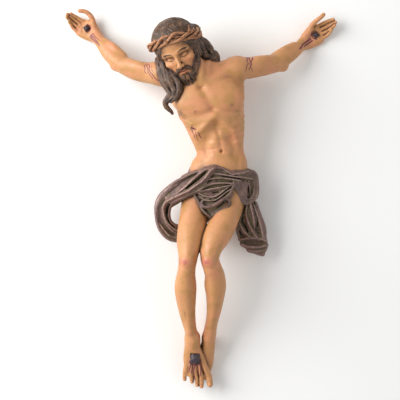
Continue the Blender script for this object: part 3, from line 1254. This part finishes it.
def slope_of(clay, points, reach=0.7):
    """The way in which the field grows fastest, which points straight out of the surface."""
    slope = np.stack([
        reading(clay, points + reach * step) - reading(clay, points - reach * step) for step in np.eye(3)
    ], axis=1)
    return slope / (np.linalg.norm(slope, axis=1)[:, None] + 1e-9)


# %% [markdown]
# ## A mesh that can be carried
# The raw surface has far more faces than anybody sees, most of them on plain skin. Blender's Decimate
# modifier closes the least noticed edges. A vertex group protects the face and the hands most, then
# the hair, the feet and the cloth, and leaves plain skin to be thinned freely.

# %% Mesh from clay
def mesh_from(name, clay, most_faces, care=None):
    """A Blender object of a clay's surface with at most so many triangles."""
    points, faces = surface_of(clay)
    mesh = bpy.data.meshes.new(name)
    mesh.from_pydata((points * SHARE + np.array(ZERO)).tolist(), [], faces.tolist())
    piece = bpy.data.objects.new(name, mesh)
    bpy.context.collection.objects.link(piece)
    ratio = most_faces / (2 * len(faces))
    if ratio < 1:
        thin = piece.modifiers.new("thin", "DECIMATE")
        thin.ratio = ratio
        thin.use_collapse_triangulate = True
        if care is not None:
            group = piece.vertex_groups.new(name="freely")
            cared = care(points)
            for level in np.unique(cared):
                group.add(np.flatnonzero(cared == level).tolist(), 1 - float(level), "REPLACE")
            thin.vertex_group = group.name
            thin.vertex_group_factor = 2e-7
        fewer = bpy.data.meshes.new_from_object(piece.evaluated_get(bpy.context.evaluated_depsgraph_get()))
        piece.modifiers.clear()
        piece.vertex_groups.clear()
        piece.data = fewer
        fewer.name = name
    piece.data.shade_smooth()
    print(f"{name}: {2 * len(faces)} triangles thinned to {len(piece.data.polygons)}")
    return piece


def points_of(piece):
    """The points of a piece in the carver's shares."""
    flat = np.empty(3 * len(piece.data.vertices), np.float32)
    piece.data.vertices.foreach_get("co", flat)
    return (flat.reshape(-1, 3) - np.array(ZERO)) / SHARE


def keep_value(piece, name, values):
    """Stores one number for every point of a piece, for its paint to use."""
    slot = piece.data.attributes.new(name, "FLOAT", "POINT")
    slot.data.foreach_set("value", np.clip(values, 0, 1).astype(np.float32))


def care_of(points):
    """How carefully each region is kept, in steps."""
    care = np.zeros(len(points))
    for low, high, worth in (
        ((-105, -128, 2), (155, 96, 150), 0.3),
        ((-60, -420, 2), (40, -320, 80), 0.4),
        ((-20, 118, 80), (10, 160, 130), 0.5),
        ((-110, 180, 80), (60, 420, 192), 0.5),
        ((-310, 340, 4), (-215, 425, 60), 0.7),
        ((215, 330, 4), (310, 420, 60), 0.7),
        ((-90, 240, 100), (-20, 345, 180), 0.8),
    ):
        within = np.all((points > low) & (points < high), axis=1)
        care[within] = worth
    return care


MOST_FACES = {"corpus": 148000, "crown": 60000}
started = time.time()
corpus = mesh_from("carved_corpus", figure, MOST_FACES["corpus"], care_of)
thorn_crown = mesh_from("twisted_crown", crown, MOST_FACES["crown"])
print(f"meshes made in {time.time() - started:.0f} s")

# %% [markdown]
# ## Brush strokes
# Blood, brows, lashes and lips are strokes of a brush on the finished form. A stroke is a short curve
# seen from the front with a width at each place, and each point of the mesh takes as much paint as it
# lies near the stroke. The number is stored on the points, so it needs no picture.

# %% A brush
def brushed(strokes, place=BENCH, facing=0.1, spread=1.0):
    """How much paint each point of the corpus gets from strokes of [x, y, width] rows."""
    turned = np.array(place.to_3x3())
    local = (points - np.array(place.translation)) @ turned
    front = out @ turned[:, 2] > facing
    got = np.zeros(len(points))
    for stroke in strokes:
        line = ease([[x, y, 0, spread * width] for x, y, width in stroke], 1.5)
        low = line[:, :2].min(axis=0) - 3 * line[:, 3].max()
        high = line[:, :2].max(axis=0) + 3 * line[:, 3].max()
        near = np.flatnonzero(np.all((local[:, :2] > low) & (local[:, :2] < high), axis=1) & front)
        spots = local[near, :2]
        for (x, y, _, width), (x2, y2, _, width2) in zip(line, line[1:]):
            way = np.array([x2 - x, y2 - y])
            t = np.clip((spots - (x, y)) @ way / (way @ way + 1e-9), 0, 1)
            apart = np.linalg.norm(spots - (x, y) - t[:, None] * way, axis=1)
            wide = width + t * (width2 - width)
            got[near] = np.maximum(got[near], np.exp(-((apart / wide) ** 2)))
    return got


def drips(start, end, count, spread, width, seed):
    """Wavy strokes side by side that run from start to end and fade."""
    chance = np.random.default_rng(seed)
    start, end = np.array(start, float), np.array(end, float)
    way = end - start
    side = np.array([-way[1], way[0]]) / np.linalg.norm(way)
    strokes = []
    for number in range(count):
        off = spread * ((number + 0.5) / count - 0.5) + chance.normal(0, spread * 0.04)
        far = chance.uniform(0.7, 1.1)
        steps = np.linspace(0, far, 7)
        wave = chance.normal(0, spread * 0.05, 7).cumsum() * 0.6
        strokes.append([
            [*(start + s * way + side * (off * (1 - 0.2 * s) + w)), width * (1 - 0.45 * s / far)]
            for s, w in zip(steps, wave)
        ])
    return strokes


# %% Strokes on the body
BLOOD = [
    # right hand, left hand, feet
    *drips((-242, 366), (-220, 342), 4, 12, 1.0, 1),
    [(-247, 389, 1), (-243, 383, 1.2), (-246, 376, 1.1), (-252, 372, 1)],
    *drips((248, 356), (222, 337), 4, 11, 1.1, 2),
    [(226, 339, 1.2), (221, 334, 1.9), (219, 332, 1.2)],
    [(249, 374, 1), (248, 367, 1.2), (252, 360, 1.1), (259, 357, 1)],
    [(-22, -352, 1.3), (-21, -358, 1.5), (-11, -361, 1.8), (-1, -358, 1.5), (0, -350, 1.2)],
    [(-19, -357, 1.4), (-22, -367, 1.2), (-24, -378, 0.9)],
    [(-11, -357, 1.5), (-13, -372, 1.2), (-13, -384, 1), (-10, -396, 0.8)],
    [(-2, -355, 1.4), (2, -368, 1.2), (1, -387, 0.9)], [(-6, -358, 1.1), (-4, -372, 0.9), (-5, -386, 0.7)],
    [(-15, -358, 1), (-17, -370, 0.9), (-19, -381, 0.7)],
    # the wound at the side
    [(-18.5, 155, 1.1), (-15, 153, 1.9), (-10, 150.5, 1)],
    [(-17, 149, 0.5), (-15.5, 144, 0.6), (-12.5, 139, 0.6), (-12, 133, 0.4)],
    [(-5, 145, 0.7), (-2.5, 141, 0.9), (-0.5, 137, 0.8), (2.5, 133, 0.6)],
    [(-9, 147, 0.4), (-9.5, 142, 0.5), (-7, 136, 0.5), (-6, 131, 0.4), (-3.5, 127, 0.3)],
    # the upper arm and the shoulder
    [(-109.5, 290, 0.8), (-107.5, 285, 0.9), (-109, 280, 0.8), (-107, 274, 0.9), (-101, 267, 0.8),
     (-96, 260, 0.7), (-89, 254, 0.6)],
    [(-113, 292, 0.7), (-114, 286, 0.7), (-111.5, 280, 0.8), (-111, 273, 0.7), (-106, 266, 0.7),
     (-101, 259, 0.5)],
    [(-117, 291, 0.5), (-119, 286, 0.6), (-117.5, 281, 0.6), (-118.5, 276, 0.5), (-115, 271, 0.4)],
    [(-104, 291, 0.5), (-102.5, 286, 0.5), (-104, 280, 0.5), (-100, 273, 0.4)],
    [(100, 307, 1.3), (101.5, 302, 1.3), (100.5, 298, 0.9), (103, 292, 0.8), (100, 287, 0.8),
     (99.5, 282, 0.7), (97, 277, 0.9)],
    [(105.5, 307, 1.2), (105, 302, 1.2), (107.5, 297, 0.9), (106.5, 291, 0.8), (108.5, 286, 0.7),
     (105, 281, 0.7), (105.5, 276, 0.5)],
    [(112.5, 306, 1.3), (112, 301, 1.2), (109.5, 296, 0.9), (110.5, 290, 0.8), (108, 285, 0.7),
     (111, 280, 0.7), (112.5, 276, 0.5)],
]
GRAZES = [
    [(-36, -127, 0.5), (-33, -129, 0.8), (-29, -128, 0.4)],
    [(-34, -132, 0.4), (-30, -132.5, 0.7), (-27, -131, 0.4)],
    [(-33, -135, 0.4), (-31, -136, 0.6)], [(9, -128, 0.4), (12, -129.5, 0.7), (16, -128.5, 0.4)],
    [(10, -132, 0.5), (14, -133, 0.6), (18, -131.5, 0.4)],
    [(-33, -240, 0.7), (-32, -247, 0.9), (-31, -252, 0.6)],
]
NIPPLES = [[(-10.8, 187.6, 2.2), (-10, 187.4, 2.2)], [(66.8, 201.2, 2.2), (67.4, 201, 2.2)]]
RUBBED_RAW = [[(-36, -130, 7), (-28, -131, 7)], [(8, -130, 7), (17, -130, 7)]]

# %% Strokes on the face
BROWS, LASHES = [], []
for side in (-1, 1):
    for share in np.linspace(0, 1, 15):
        x = 7 + 17 * share
        y = 10.5 + 3.4 * math.sin(2.4 * share + 0.3) - 2.2 * share
        one_hair = ((x, y - 1, 0.6), (x + 2.2, y + 0.6, 0.6), (x + 5, y + 0.9, 0.4))
        BROWS.append([(side * along, up, wide) for along, up, wide in one_hair])
    LASHES.append([(side * x, y, wide) for x, y, wide in (
        (6.4, -2.8, 0.45), (10, -4.7, 0.75), (15, -5.4, 0.85), (20, -4.2, 0.75), (24.4, -2, 0.45),
    )])
LIPS = [
    [(-10.5, -32.6, 1), (-4.5, -30.8, 1.7), (0, -31.4, 1.5), (4.5, -30.8, 1.7), (10.5, -32.6, 1)],
    [(-9, -34.4, 1.2), (0, -36, 2.2), (9, -34.4, 1.2)],
]
CHEEKS = [[(side * 18, -14, 7), (side * 24, -18, 6)] for side in (-1, 1)]
LIDS = [[(side * 8, 2.6, 1.6), (side * 15, 4, 1.8), (side * 23, 2.6, 1.4)] for side in (-1, 1)]
PARTING = [[(-11, -33, 0.5), (-5, -32.8, 0.7), (0, -33.4, 0.7), (5, -32.8, 0.7), (11, -33, 0.5)]]
print(len(BLOOD + GRAZES), "strokes for the body and", len(BROWS + LASHES + LIPS + PARTING), "for the face")

# %% [markdown]
# ## A finer mesh under the strokes
# A painted line needs points to hold it, so the faces under each stroke are divided once or twice
# more. That doesn't change the form, and it costs far less than a fine mesh everywhere.

# %% Finer under the strokes
def finer(piece, wanted, longest):
    """Divides the edges between wanted points until they are short."""
    form = bmesh.new()
    form.from_mesh(piece.data)
    form.verts.ensure_lookup_table()
    marked = [form.verts[int(n)] for n in np.flatnonzero(wanted)]
    edges = {edge for vert in marked for edge in vert.link_edges if edge.calc_length() > longest * SHARE}
    bmesh.ops.subdivide_edges(form, edges=list(edges), cuts=1)
    bmesh.ops.triangulate(form, faces=[face for face in form.faces if len(face.verts) > 3])
    form.to_mesh(piece.data)
    form.free()
    piece.data.shade_smooth()


started = time.time()
for longest in (1.3, 0.7):
    points = points_of(corpus)
    out = slope_of(figure, points)
    wet = np.maximum(brushed(BLOOD, spread=1.8), brushed(GRAZES, spread=1.8))
    wet = np.maximum(wet, brushed(BROWS + LASHES + LIPS, HEAD, spread=1.8))
    finer(corpus, wet > 0.03, longest)
print(f"corpus: {len(corpus.data.polygons)} triangles after {time.time() - started:.0f} s")

# %% [markdown]
# ## What the paint needs to know
# Old paint tells of the form under it: dust and wax gather in the hollows, and hands rub the ridges
# bright. The clay can say how hollow a place is: step out from the surface, and the field is smaller
# than the step where something stands close by. A step inwards finds the ridges in the same way.

# %% Hollows, ridges and neighbours
started = time.time()
points = points_of(corpus)
out = slope_of(figure, points)
for name, step in (("hollow", 2.2), ("deep_hollow", 7.0)):
    keep_value(corpus, name, 1 - reading(figure, points + step * out) / step)
keep_value(corpus, "ridge", 1 + reading(figure, points - 2.2 * out) / 2.2)
own = {"skin": reading(flesh, points), "hair": reading(hair, points), "cloth": reading(cloth, points)}
for name, rest in (("hair", ("skin", "cloth")), ("cloth", ("skin", "hair"))):
    keep_value(corpus, name, 0.5 + (np.minimum(own[rest[0]], own[rest[1]]) - own[name]) / 0.9)
    keep_value(corpus, "near_" + name, 1 - own[name] / 6)

crown_points = points_of(thorn_crown)
crown_out = slope_of(crown, crown_points, 0.4)
keep_value(thorn_crown, "hollow", 1 - reading(crown, crown_points + 1.6 * crown_out) / 1.6)
keep_value(thorn_crown, "ridge", 1 + reading(crown, crown_points - 1.2 * crown_out) / 1.2)
print(f"{len(points)} points read in {time.time() - started:.0f} s")

# %% [markdown]
# ## The way of the strands
# Hairs run along their lock and brush marks run along their fold, and a noise can follow them only if
# it is told where along and across lies. Each point takes both from the nearest ring of the strands
# that were modelled; on the combed cap they are the angle round the head and the way down from its top.

# %% Across and along
def combing(kind, reach):
    """Across and along the nearest strand for every point, and whether there is one."""
    centres = [at for at, *_ in FOLLOWED[kind]]
    finder = KDTree(sum(len(at) for at in centres))
    rings = []
    for number, (at, wide, deep, u, w) in enumerate(FOLLOWED[kind]):
        for n, place in enumerate(at):
            finder.insert(place, len(rings))
            rings.append((number, n, wide[n] + deep[n], *u[n], *w[n], *place))
    finder.balance()
    rings = np.array(rings)
    comb = np.zeros((len(points), 3))
    near = np.flatnonzero(own[kind] < 2)
    nearest = rings[[finder.find(point)[1] for point in points[near]]]
    off = points[near] - nearest[:, 9:12]
    aside, upward = (off * nearest[:, 3:6]).sum(axis=1), (off * nearest[:, 6:9]).sum(axis=1)
    size = nearest[:, 2] / 2
    comb[near, 0] = np.arctan2(aside, upward) * np.minimum(size, 6)
    comb[near, 1] = nearest[:, 1] * 3 + 40 * nearest[:, 0]
    comb[near, 2] = 9 * nearest[:, 0]
    close = np.zeros(len(points), bool)
    close[near] = np.hypot(aside, upward) < reach * size
    return comb, close


def keep_way(piece, name, values):
    slot = piece.data.attributes.new(name, "FLOAT_VECTOR", "POINT")
    slot.data.foreach_set("vector", values.astype(np.float32).ravel())


started = time.time()
comb, close = combing("hair", 1.5)
from_middle = (points - np.array(HEAD @ CAP_MIDDLE)) @ np.array(HEAD.to_3x3())
round_head, down, sway = parting_of(*from_middle.T)
on_cap = (abs(np.linalg.norm(from_middle, axis=1) - CAP_RADIUS) < 3.5) | (abs(round_head) > 1.9)
on_cap &= (own["hair"] < 1) & ~close
comb[on_cap] = np.stack([34 * (round_head + sway), 50 * down, 0 * down], axis=1)[on_cap]
keep_way(corpus, "hair_way", comb)
keep_way(corpus, "cloth_way", combing("cloth", 9)[0])
print(f"strands followed in {time.time() - started:.0f} s")

# %% Strokes laid on
keep_value(corpus, "blood", brushed(BLOOD))
keep_value(corpus, "blood_wash", brushed(BLOOD, spread=2.6))
keep_value(corpus, "graze", brushed(GRAZES))
keep_value(corpus, "raw", brushed(RUBBED_RAW))
keep_value(corpus, "dark_line", brushed(BROWS + LASHES + PARTING, HEAD))
keep_value(corpus, "lips", brushed(LIPS, HEAD))
keep_value(corpus, "cheek", brushed(CHEEKS, HEAD))
keep_value(corpus, "lid", brushed(LIDS, HEAD))
keep_value(corpus, "nipple", brushed(NIPPLES))
print("paint strokes are on the points")

# %% [markdown]
# ## Coats of paint
# A painter builds a finish in coats: a ground, then glazes and strokes through which the ground still
# shows. The helper below builds a material in the same way. Each coat is a colour laid over what is
# there already, through a mask from 0 to 1, and the masks come from noises and stored numbers.

# %% A painter's helper
def paint(red, green, blue):
    """A colour mixed by eye, turned into the light values that a material works with."""
    return (*(((v / 255 + 0.055) / 1.055) ** 2.4 if v > 10 else v / 3294 for v in (red, green, blue)), 1)


class Coats:
    def __init__(self, name, ground):
        self.material = bpy.data.materials.new(name)
        self.material.use_nodes = True
        self.tree = self.material.node_tree
        self.finish = self.tree.nodes["Principled BSDF"]
        self.place = self.node("TexCoord").outputs["Object"]
        self.colour = ground

    def node(self, kind, settings=None, feeds=None):
        made = self.tree.nodes.new("ShaderNode" + kind)
        for key, value in (settings or {}).items():
            setattr(made, key, value)
        for key, value in (feeds or {}).items():
            self.feed(made.inputs[key], value)
        return made

    def feed(self, socket, value):
        if isinstance(value, bpy.types.NodeSocket):
            self.tree.links.new(value, socket)
        else:
            socket.default_value = value

    def stored(self, name):
        return self.node("Attribute", {"attribute_name": name}).outputs["Fac"]

    def noise(self, size, detail=3.0, stretch=(1, 1, 1), bend=0.0):
        """A noise whose lumps are about so many shares across."""
        place = self.node("Mapping", None, {"Vector": self.place, "Scale": stretch}).outputs[0]
        scale = 1 / (size * SHARE)
        feeds = {"Vector": place, "Scale": scale, "Detail": detail, "Distortion": bend}
        return self.node("TexNoise", None, feeds).outputs[0]

    def math(self, work, a, b=0.0, c=0.0):
        settings = {"operation": work, "use_clamp": work != "ADD"}
        return self.node("Math", settings, {0: a, 1: b, 2: c}).outputs[0]

    def times(self, a, b):
        return self.math("MULTIPLY", a, b)

    def between(self, value, low, high):
        """0 below low, 1 above high and a smooth rise between."""
        feeds = {"Value": value, "From Min": low, "From Max": high}
        return self.node("MapRange", {"interpolation_type": "SMOOTHSTEP"}, feeds).outputs[0]

    def streaks(self, name, across, along):
        """A noise that runs along the strands: so many shares across and so many along."""
        way = self.node("Attribute", {"attribute_name": name}).outputs["Vector"]
        place = self.node("Mapping", None, {"Vector": way, "Scale": (1 / across, 1 / along, 1)}).outputs[0]
        return self.node("TexNoise", None, {"Vector": place, "Scale": 1.0, "Detail": 2.0}).outputs[0]

    def blend(self, mask, one, two):
        return self.node("Mix", {"data_type": "FLOAT"}, {0: mask, 2: one, 3: two}).outputs[0]

    def coat(self, mask, colour, share=1.0):
        """Lays a colour over the coats so far, through a mask and as thickly as its share says."""
        if share < 1:
            mask = self.times(mask, share)
        laid = self.node("Mix", {"data_type": "RGBA"}, {0: mask, 6: self.colour, 7: colour})
        self.colour = laid.outputs[2]

    def close(self, roughness, relief, height, shine=0.5, metal=0.0):
        """Ends the material with its sheen and its fine relief."""
        bump = self.node("Bump", None, {"Strength": 1.0, "Distance": height * SHARE, "Height": relief})
        self.feed(self.finish.inputs["Base Color"], self.colour)
        self.feed(self.finish.inputs["Roughness"], roughness)
        self.feed(self.finish.inputs["Normal"], bump.outputs[0])
        self.finish.inputs["Specular IOR Level"].default_value = shine
        self.finish.inputs["Metallic"].default_value = metal
        return self.material


# %% Painted skin
body = Coats("painted_limewood", paint(202, 144, 95))
body.coat(body.between(body.noise(46, 2), 0.42, 0.62), paint(208, 142, 100))
body.coat(body.between(body.noise(24, 4), 0.46, 0.68), paint(186, 136, 80), 0.9)
body.coat(body.between(body.noise(5, 4), 0.5, 0.75), paint(182, 122, 82), 0.25)
body.coat(body.between(body.stored("deep_hollow"), 0.12, 0.8), paint(148, 102, 60), 0.7)
creased = body.between(body.stored("hollow"), 0.14, 0.66)
body.coat(creased, paint(84, 54, 32))
body.coat(body.between(body.stored("near_hair"), 0.4, 0.95), paint(112, 72, 46), 0.7)
body.coat(body.between(body.stored("near_cloth"), 0.5, 0.98), paint(128, 92, 60), 0.5)
body.coat(body.between(body.stored("ridge"), 0.3, 0.9), paint(228, 182, 144), 0.45)
specks = body.between(body.noise(1.5, 2), 0.7, 0.78)
body.coat(specks, paint(120, 80, 50), 0.3)
body.coat(body.stored("lips"), paint(178, 96, 76), 0.8)
body.coat(body.stored("cheek"), paint(206, 118, 88), 0.4)
body.coat(body.stored("lid"), paint(136, 92, 66), 0.4)
body.coat(body.stored("nipple"), paint(126, 78, 72), 0.75)
body.coat(body.between(body.stored("dark_line"), 0.3, 0.62), paint(66, 42, 32))
worn = body.times(body.noise(2.6, 3), 0.35)
body.coat(body.between(body.stored("blood_wash"), 0.2, 0.9), paint(190, 122, 118), 0.45)
grazed = body.between(body.math("SUBTRACT", body.stored("graze"), worn), 0, 0.5)
body.coat(body.times(body.stored("raw"), body.between(worn, 0.06, 0.22)), paint(204, 112, 98))
body.coat(grazed, paint(132, 66, 74), 0.75)
bloody = body.between(body.math("SUBTRACT", body.stored("blood"), worn), 0.1, 0.34)
body.coat(bloody, paint(98, 42, 48), 0.92)
skin_colour = body.colour
dents, pores = body.times(body.noise(9, 2), 0.5), body.times(body.noise(1.8, 3), 0.12)
skin_relief = body.math("ADD", body.math("ADD", dents, pores), body.times(bloody, 0.5))

# %% Painted hair
body.colour = paint(70, 48, 34)
strands = body.streaks("hair_way", 0.75, 16)
fine_strands = body.streaks("hair_way", 0.42, 10)
body.coat(body.between(body.noise(16, 2), 0.42, 0.62), paint(96, 68, 46))
body.coat(body.between(strands, 0.5, 0.66), paint(138, 100, 70), 0.8)
grey = body.times(body.between(fine_strands, 0.55, 0.68), body.between(body.noise(9, 3), 0.46, 0.62))
body.coat(grey, paint(162, 146, 142), 0.85)
body.coat(body.between(strands, 0.5, 0.36), paint(38, 26, 20), 0.9)
body.coat(body.between(body.stored("ridge"), 0.35, 0.9), paint(146, 112, 84), 0.4)
body.coat(body.between(body.stored("hollow"), 0.14, 0.5), paint(24, 16, 12))
body.coat(body.between(body.stored("deep_hollow"), 0.35, 0.9), paint(34, 23, 17), 0.7)
hair_colour = body.colour
hair_relief = body.math("ADD", strands, body.times(fine_strands, 0.5))

# %% Painted cloth
body.colour = paint(122, 92, 84)
marks = body.streaks("cloth_way", 1.3, 24)
weft, warp = (body.noise(1.7, 4, stretch=stretch) for stretch in ((1, 2.6, 1), (2.6, 1, 1)))
hatch = body.times(weft, warp)
low_places = body.between(body.stored("deep_hollow"), 0.2, 0.6)
body.coat(body.between(body.noise(22, 3), 0.42, 0.62), paint(100, 76, 74))
slopes = body.between(body.stored("deep_hollow"), 0.04, 0.24)
slopes = body.times(slopes, body.between(body.noise(4, 4), 0.3, 0.55))
body.coat(slopes, paint(70, 50, 48), 0.6)
body.coat(body.between(hatch, 0.21, 0.36), paint(154, 128, 104), 0.45)
body.coat(low_places, paint(112, 102, 70))
body.coat(body.times(low_places, body.between(hatch, 0.22, 0.34)), paint(158, 146, 108), 0.7)
brushy = body.times(body.between(body.noise(6, 4), 0.4, 0.62), 0.6)
body.coat(body.times(body.between(marks, 0.52, 0.68), brushy), paint(172, 146, 134))
body.coat(body.times(body.between(marks, 0.48, 0.36), brushy), paint(52, 38, 36))
body.coat(body.between(body.stored("deep_hollow"), 0.7, 1), paint(62, 50, 34), 0.75)
body.coat(body.between(body.stored("hollow"), 0.18, 0.6), paint(38, 27, 23))
for low, high, patches, colour, share in (
    (0.1, 0.5, body.between(body.noise(9, 4), 0.34, 0.56), paint(178, 144, 142), 0.62),
    (0.3, 1.0, body.between(body.noise(5, 4), 0.3, 0.6), paint(204, 174, 160), 0.6),
):
    body.coat(body.times(body.between(body.stored("ridge"), low, high), patches), colour, share)
cloth_colour = body.colour
cloth_relief = body.math("ADD", body.times(marks, 0.45), hatch)

# %% One paint for the whole carving
of_hair, of_cloth = body.stored("hair"), body.stored("cloth")
body.colour = skin_colour
body.coat(of_hair, hair_colour)
body.coat(of_cloth, cloth_colour)
relief = body.blend(of_cloth, body.blend(of_hair, skin_relief, hair_relief), cloth_relief)
sheen = body.blend(of_cloth, body.blend(of_hair, body.between(body.noise(7, 3), 1.5, -0.5), 0.46), 0.6)
corpus.data.materials.append(body.close(sheen, relief, 0.55))

# %% Branch and iron
bark = Coats("bark", paint(184, 130, 92))
bark.coat(bark.between(bark.noise(7, 4), 0.45, 0.62), paint(142, 92, 60))
grain = bark.noise(1.4, 5)
bark.coat(bark.between(grain, 0.5, 0.7), paint(120, 82, 56), 0.6)
bark.coat(bark.between(bark.stored("hollow"), 0.12, 0.6), paint(52, 32, 22))
bark.coat(bark.between(bark.stored("ridge"), 0.3, 0.8), paint(218, 170, 134), 0.6)
thorn_crown.data.materials.append(bark.close(0.62, grain, 0.5))

iron = Coats("forged_iron", paint(84, 76, 82))
iron.coat(iron.between(iron.noise(3, 4), 0.45, 0.7), paint(58, 50, 56))
iron.coat(iron.between(iron.noise(1.2, 4), 0.55, 0.75), paint(110, 74, 62), 0.5)
forged_iron = iron.close(iron.between(iron.noise(4, 3), -0.2, 1.3), iron.noise(1.5, 3), 0.4, metal=0.6)

# %% [markdown]
# ## Forged nails
# The nails are square and hand-forged. A smith draws the shank out square, and four last blows leave
# the head as a low pyramid whose faces aren't quite flat. So the head is built from squares, its edges
# are rounded, its faces are cut finer, and a soft noise pushes the points of its top in.

# %% Nails
RISE, RIM, TIP, END = 7.0, 1.6, 0.3, 1.0
SQUARE = ((-1, -1), (1, -1), (1, 1), (-1, 1))


def forge(name, at, head, stretch, turn):
    place = place_at(at, turn, 0, 0)
    form = bmesh.new()
    levels = [(SHANK, END - at[2]), (SHANK, 0), (head, 0), (head, RIM), (head * TIP, RISE)]
    rings = []
    for width, z in levels:
        half = width / 2
        rings.append([form.verts.new((sx * half, sy * half * stretch, z)) for sx, sy in SQUARE])
    form.faces.new(rings[0][::-1])
    form.faces.new(rings[-1])
    for lower, upper in zip(rings, rings[1:]):
        for n in range(4):
            m = (n + 1) % 4
            form.faces.new((lower[n], lower[m], upper[m], upper[n]))
    rims = [edge for edge in form.edges if min(v.co.z for v in edge.verts) >= 0]
    bmesh.ops.bevel(form, geom=rims, offset=0.5, segments=2, affect="EDGES")
    bmesh.ops.subdivide_edges(form, edges=form.edges[:], cuts=3, use_grid_fill=True)
    form.normal_update()
    for vertex in form.verts:
        if vertex.co.z > RIM * 0.5:
            push = soft_noise.noise(vertex.co * 0.32 + Vector(at)) - 0.25
            vertex.co += 0.55 * min(push, 0) * vertex.normal
    for vertex in form.verts:
        vertex.co = (place @ vertex.co) * SHARE + ZERO
    mesh = bpy.data.meshes.new(name)
    form.to_mesh(mesh)
    form.free()
    mesh.shade_smooth()
    mesh.materials.append(forged_iron)
    piece = bpy.data.objects.new(name, mesh)
    bpy.context.collection.objects.link(piece)
    return piece


nails = {node: forge("forged_" + node, *nail) for node, nail in NAILS.items()}
print("nails forged:", ", ".join(nails))

# %% [markdown]
# ## Every piece takes its node's place
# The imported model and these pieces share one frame. Each piece is tied to the body that carries it,
# takes the place of its node, and names the material slot that its finish stands for.

# %% Tie the pieces to the model
for piece, node, slot in (
    (corpus, "corpus", "painted_limewood"),
    (thorn_crown, "crown_of_thorns", "thorn_branches"),
    *((piece, node, "forged_iron") for node, piece in nails.items()),
):
    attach(piece, "root")
    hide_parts(node)

# %% [markdown]
# ## Light, floor and camera
# The camera looks straight down on the figure where it lies, from 2.8 times its height, as far as a
# museum's photographer would stand. A big soft light at its right side gives the folds their form, and
# a weaker one from the other side keeps the shadows open.

# %% Stage
bpy.ops.mesh.primitive_plane_add(size=8, location=(0, 0, 0))
floor = bpy.context.object
floor.name = "floor"
ground = Coats("floor", paint(250, 250, 248))
floor.data.materials.append(ground.close(0.9, ground.noise(40, 1), 0.0, shine=0.1))
floor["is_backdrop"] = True


def soft_light(name, at, power, size):
    lamp = bpy.data.lights.new(name, "AREA")
    lamp.energy = power
    lamp.size = size
    holder = bpy.data.objects.new(name, lamp)
    holder.location = at
    holder.rotation_euler = (-Vector(at)).to_track_quat("-Z", "Y").to_euler()
    bpy.context.collection.objects.link(holder)


soft_light("key", (-2.0, 0.7, 1.4), 84, 2.0)
soft_light("fill", (1.8, -0.4, 1.5), 5, 1.6)
scene = bpy.context.scene
scene.world = bpy.data.worlds.new("studio")
scene.world.use_nodes = True
scene.world.node_tree.nodes["Background"].inputs["Color"].default_value = (1, 1, 1, 1)
scene.world.node_tree.nodes["Background"].inputs["Strength"].default_value = 0.5
scene.view_settings.view_transform = "Standard"

lens = bpy.data.cameras.new("camera")
lens.lens = 90
lens.sensor_width = 36
camera = bpy.data.objects.new("camera", lens)
camera.location = (ZERO.x, ZERO.y, 2240 * SHARE)
bpy.context.collection.objects.link(camera)
scene.camera = camera

# %% [markdown]
# ## The size before and after
# Last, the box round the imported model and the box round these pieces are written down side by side,
# so that anyone can see that the finer surface keeps to the model's size.

# %% Finish
low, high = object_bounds()
"model " + " ".join(f"{v:.5f}" for v in (*cad_low, *cad_high)) + "\n"
"visual " + " ".join(f"{v:.5f}" for v in (*low, *high)) + "\n"
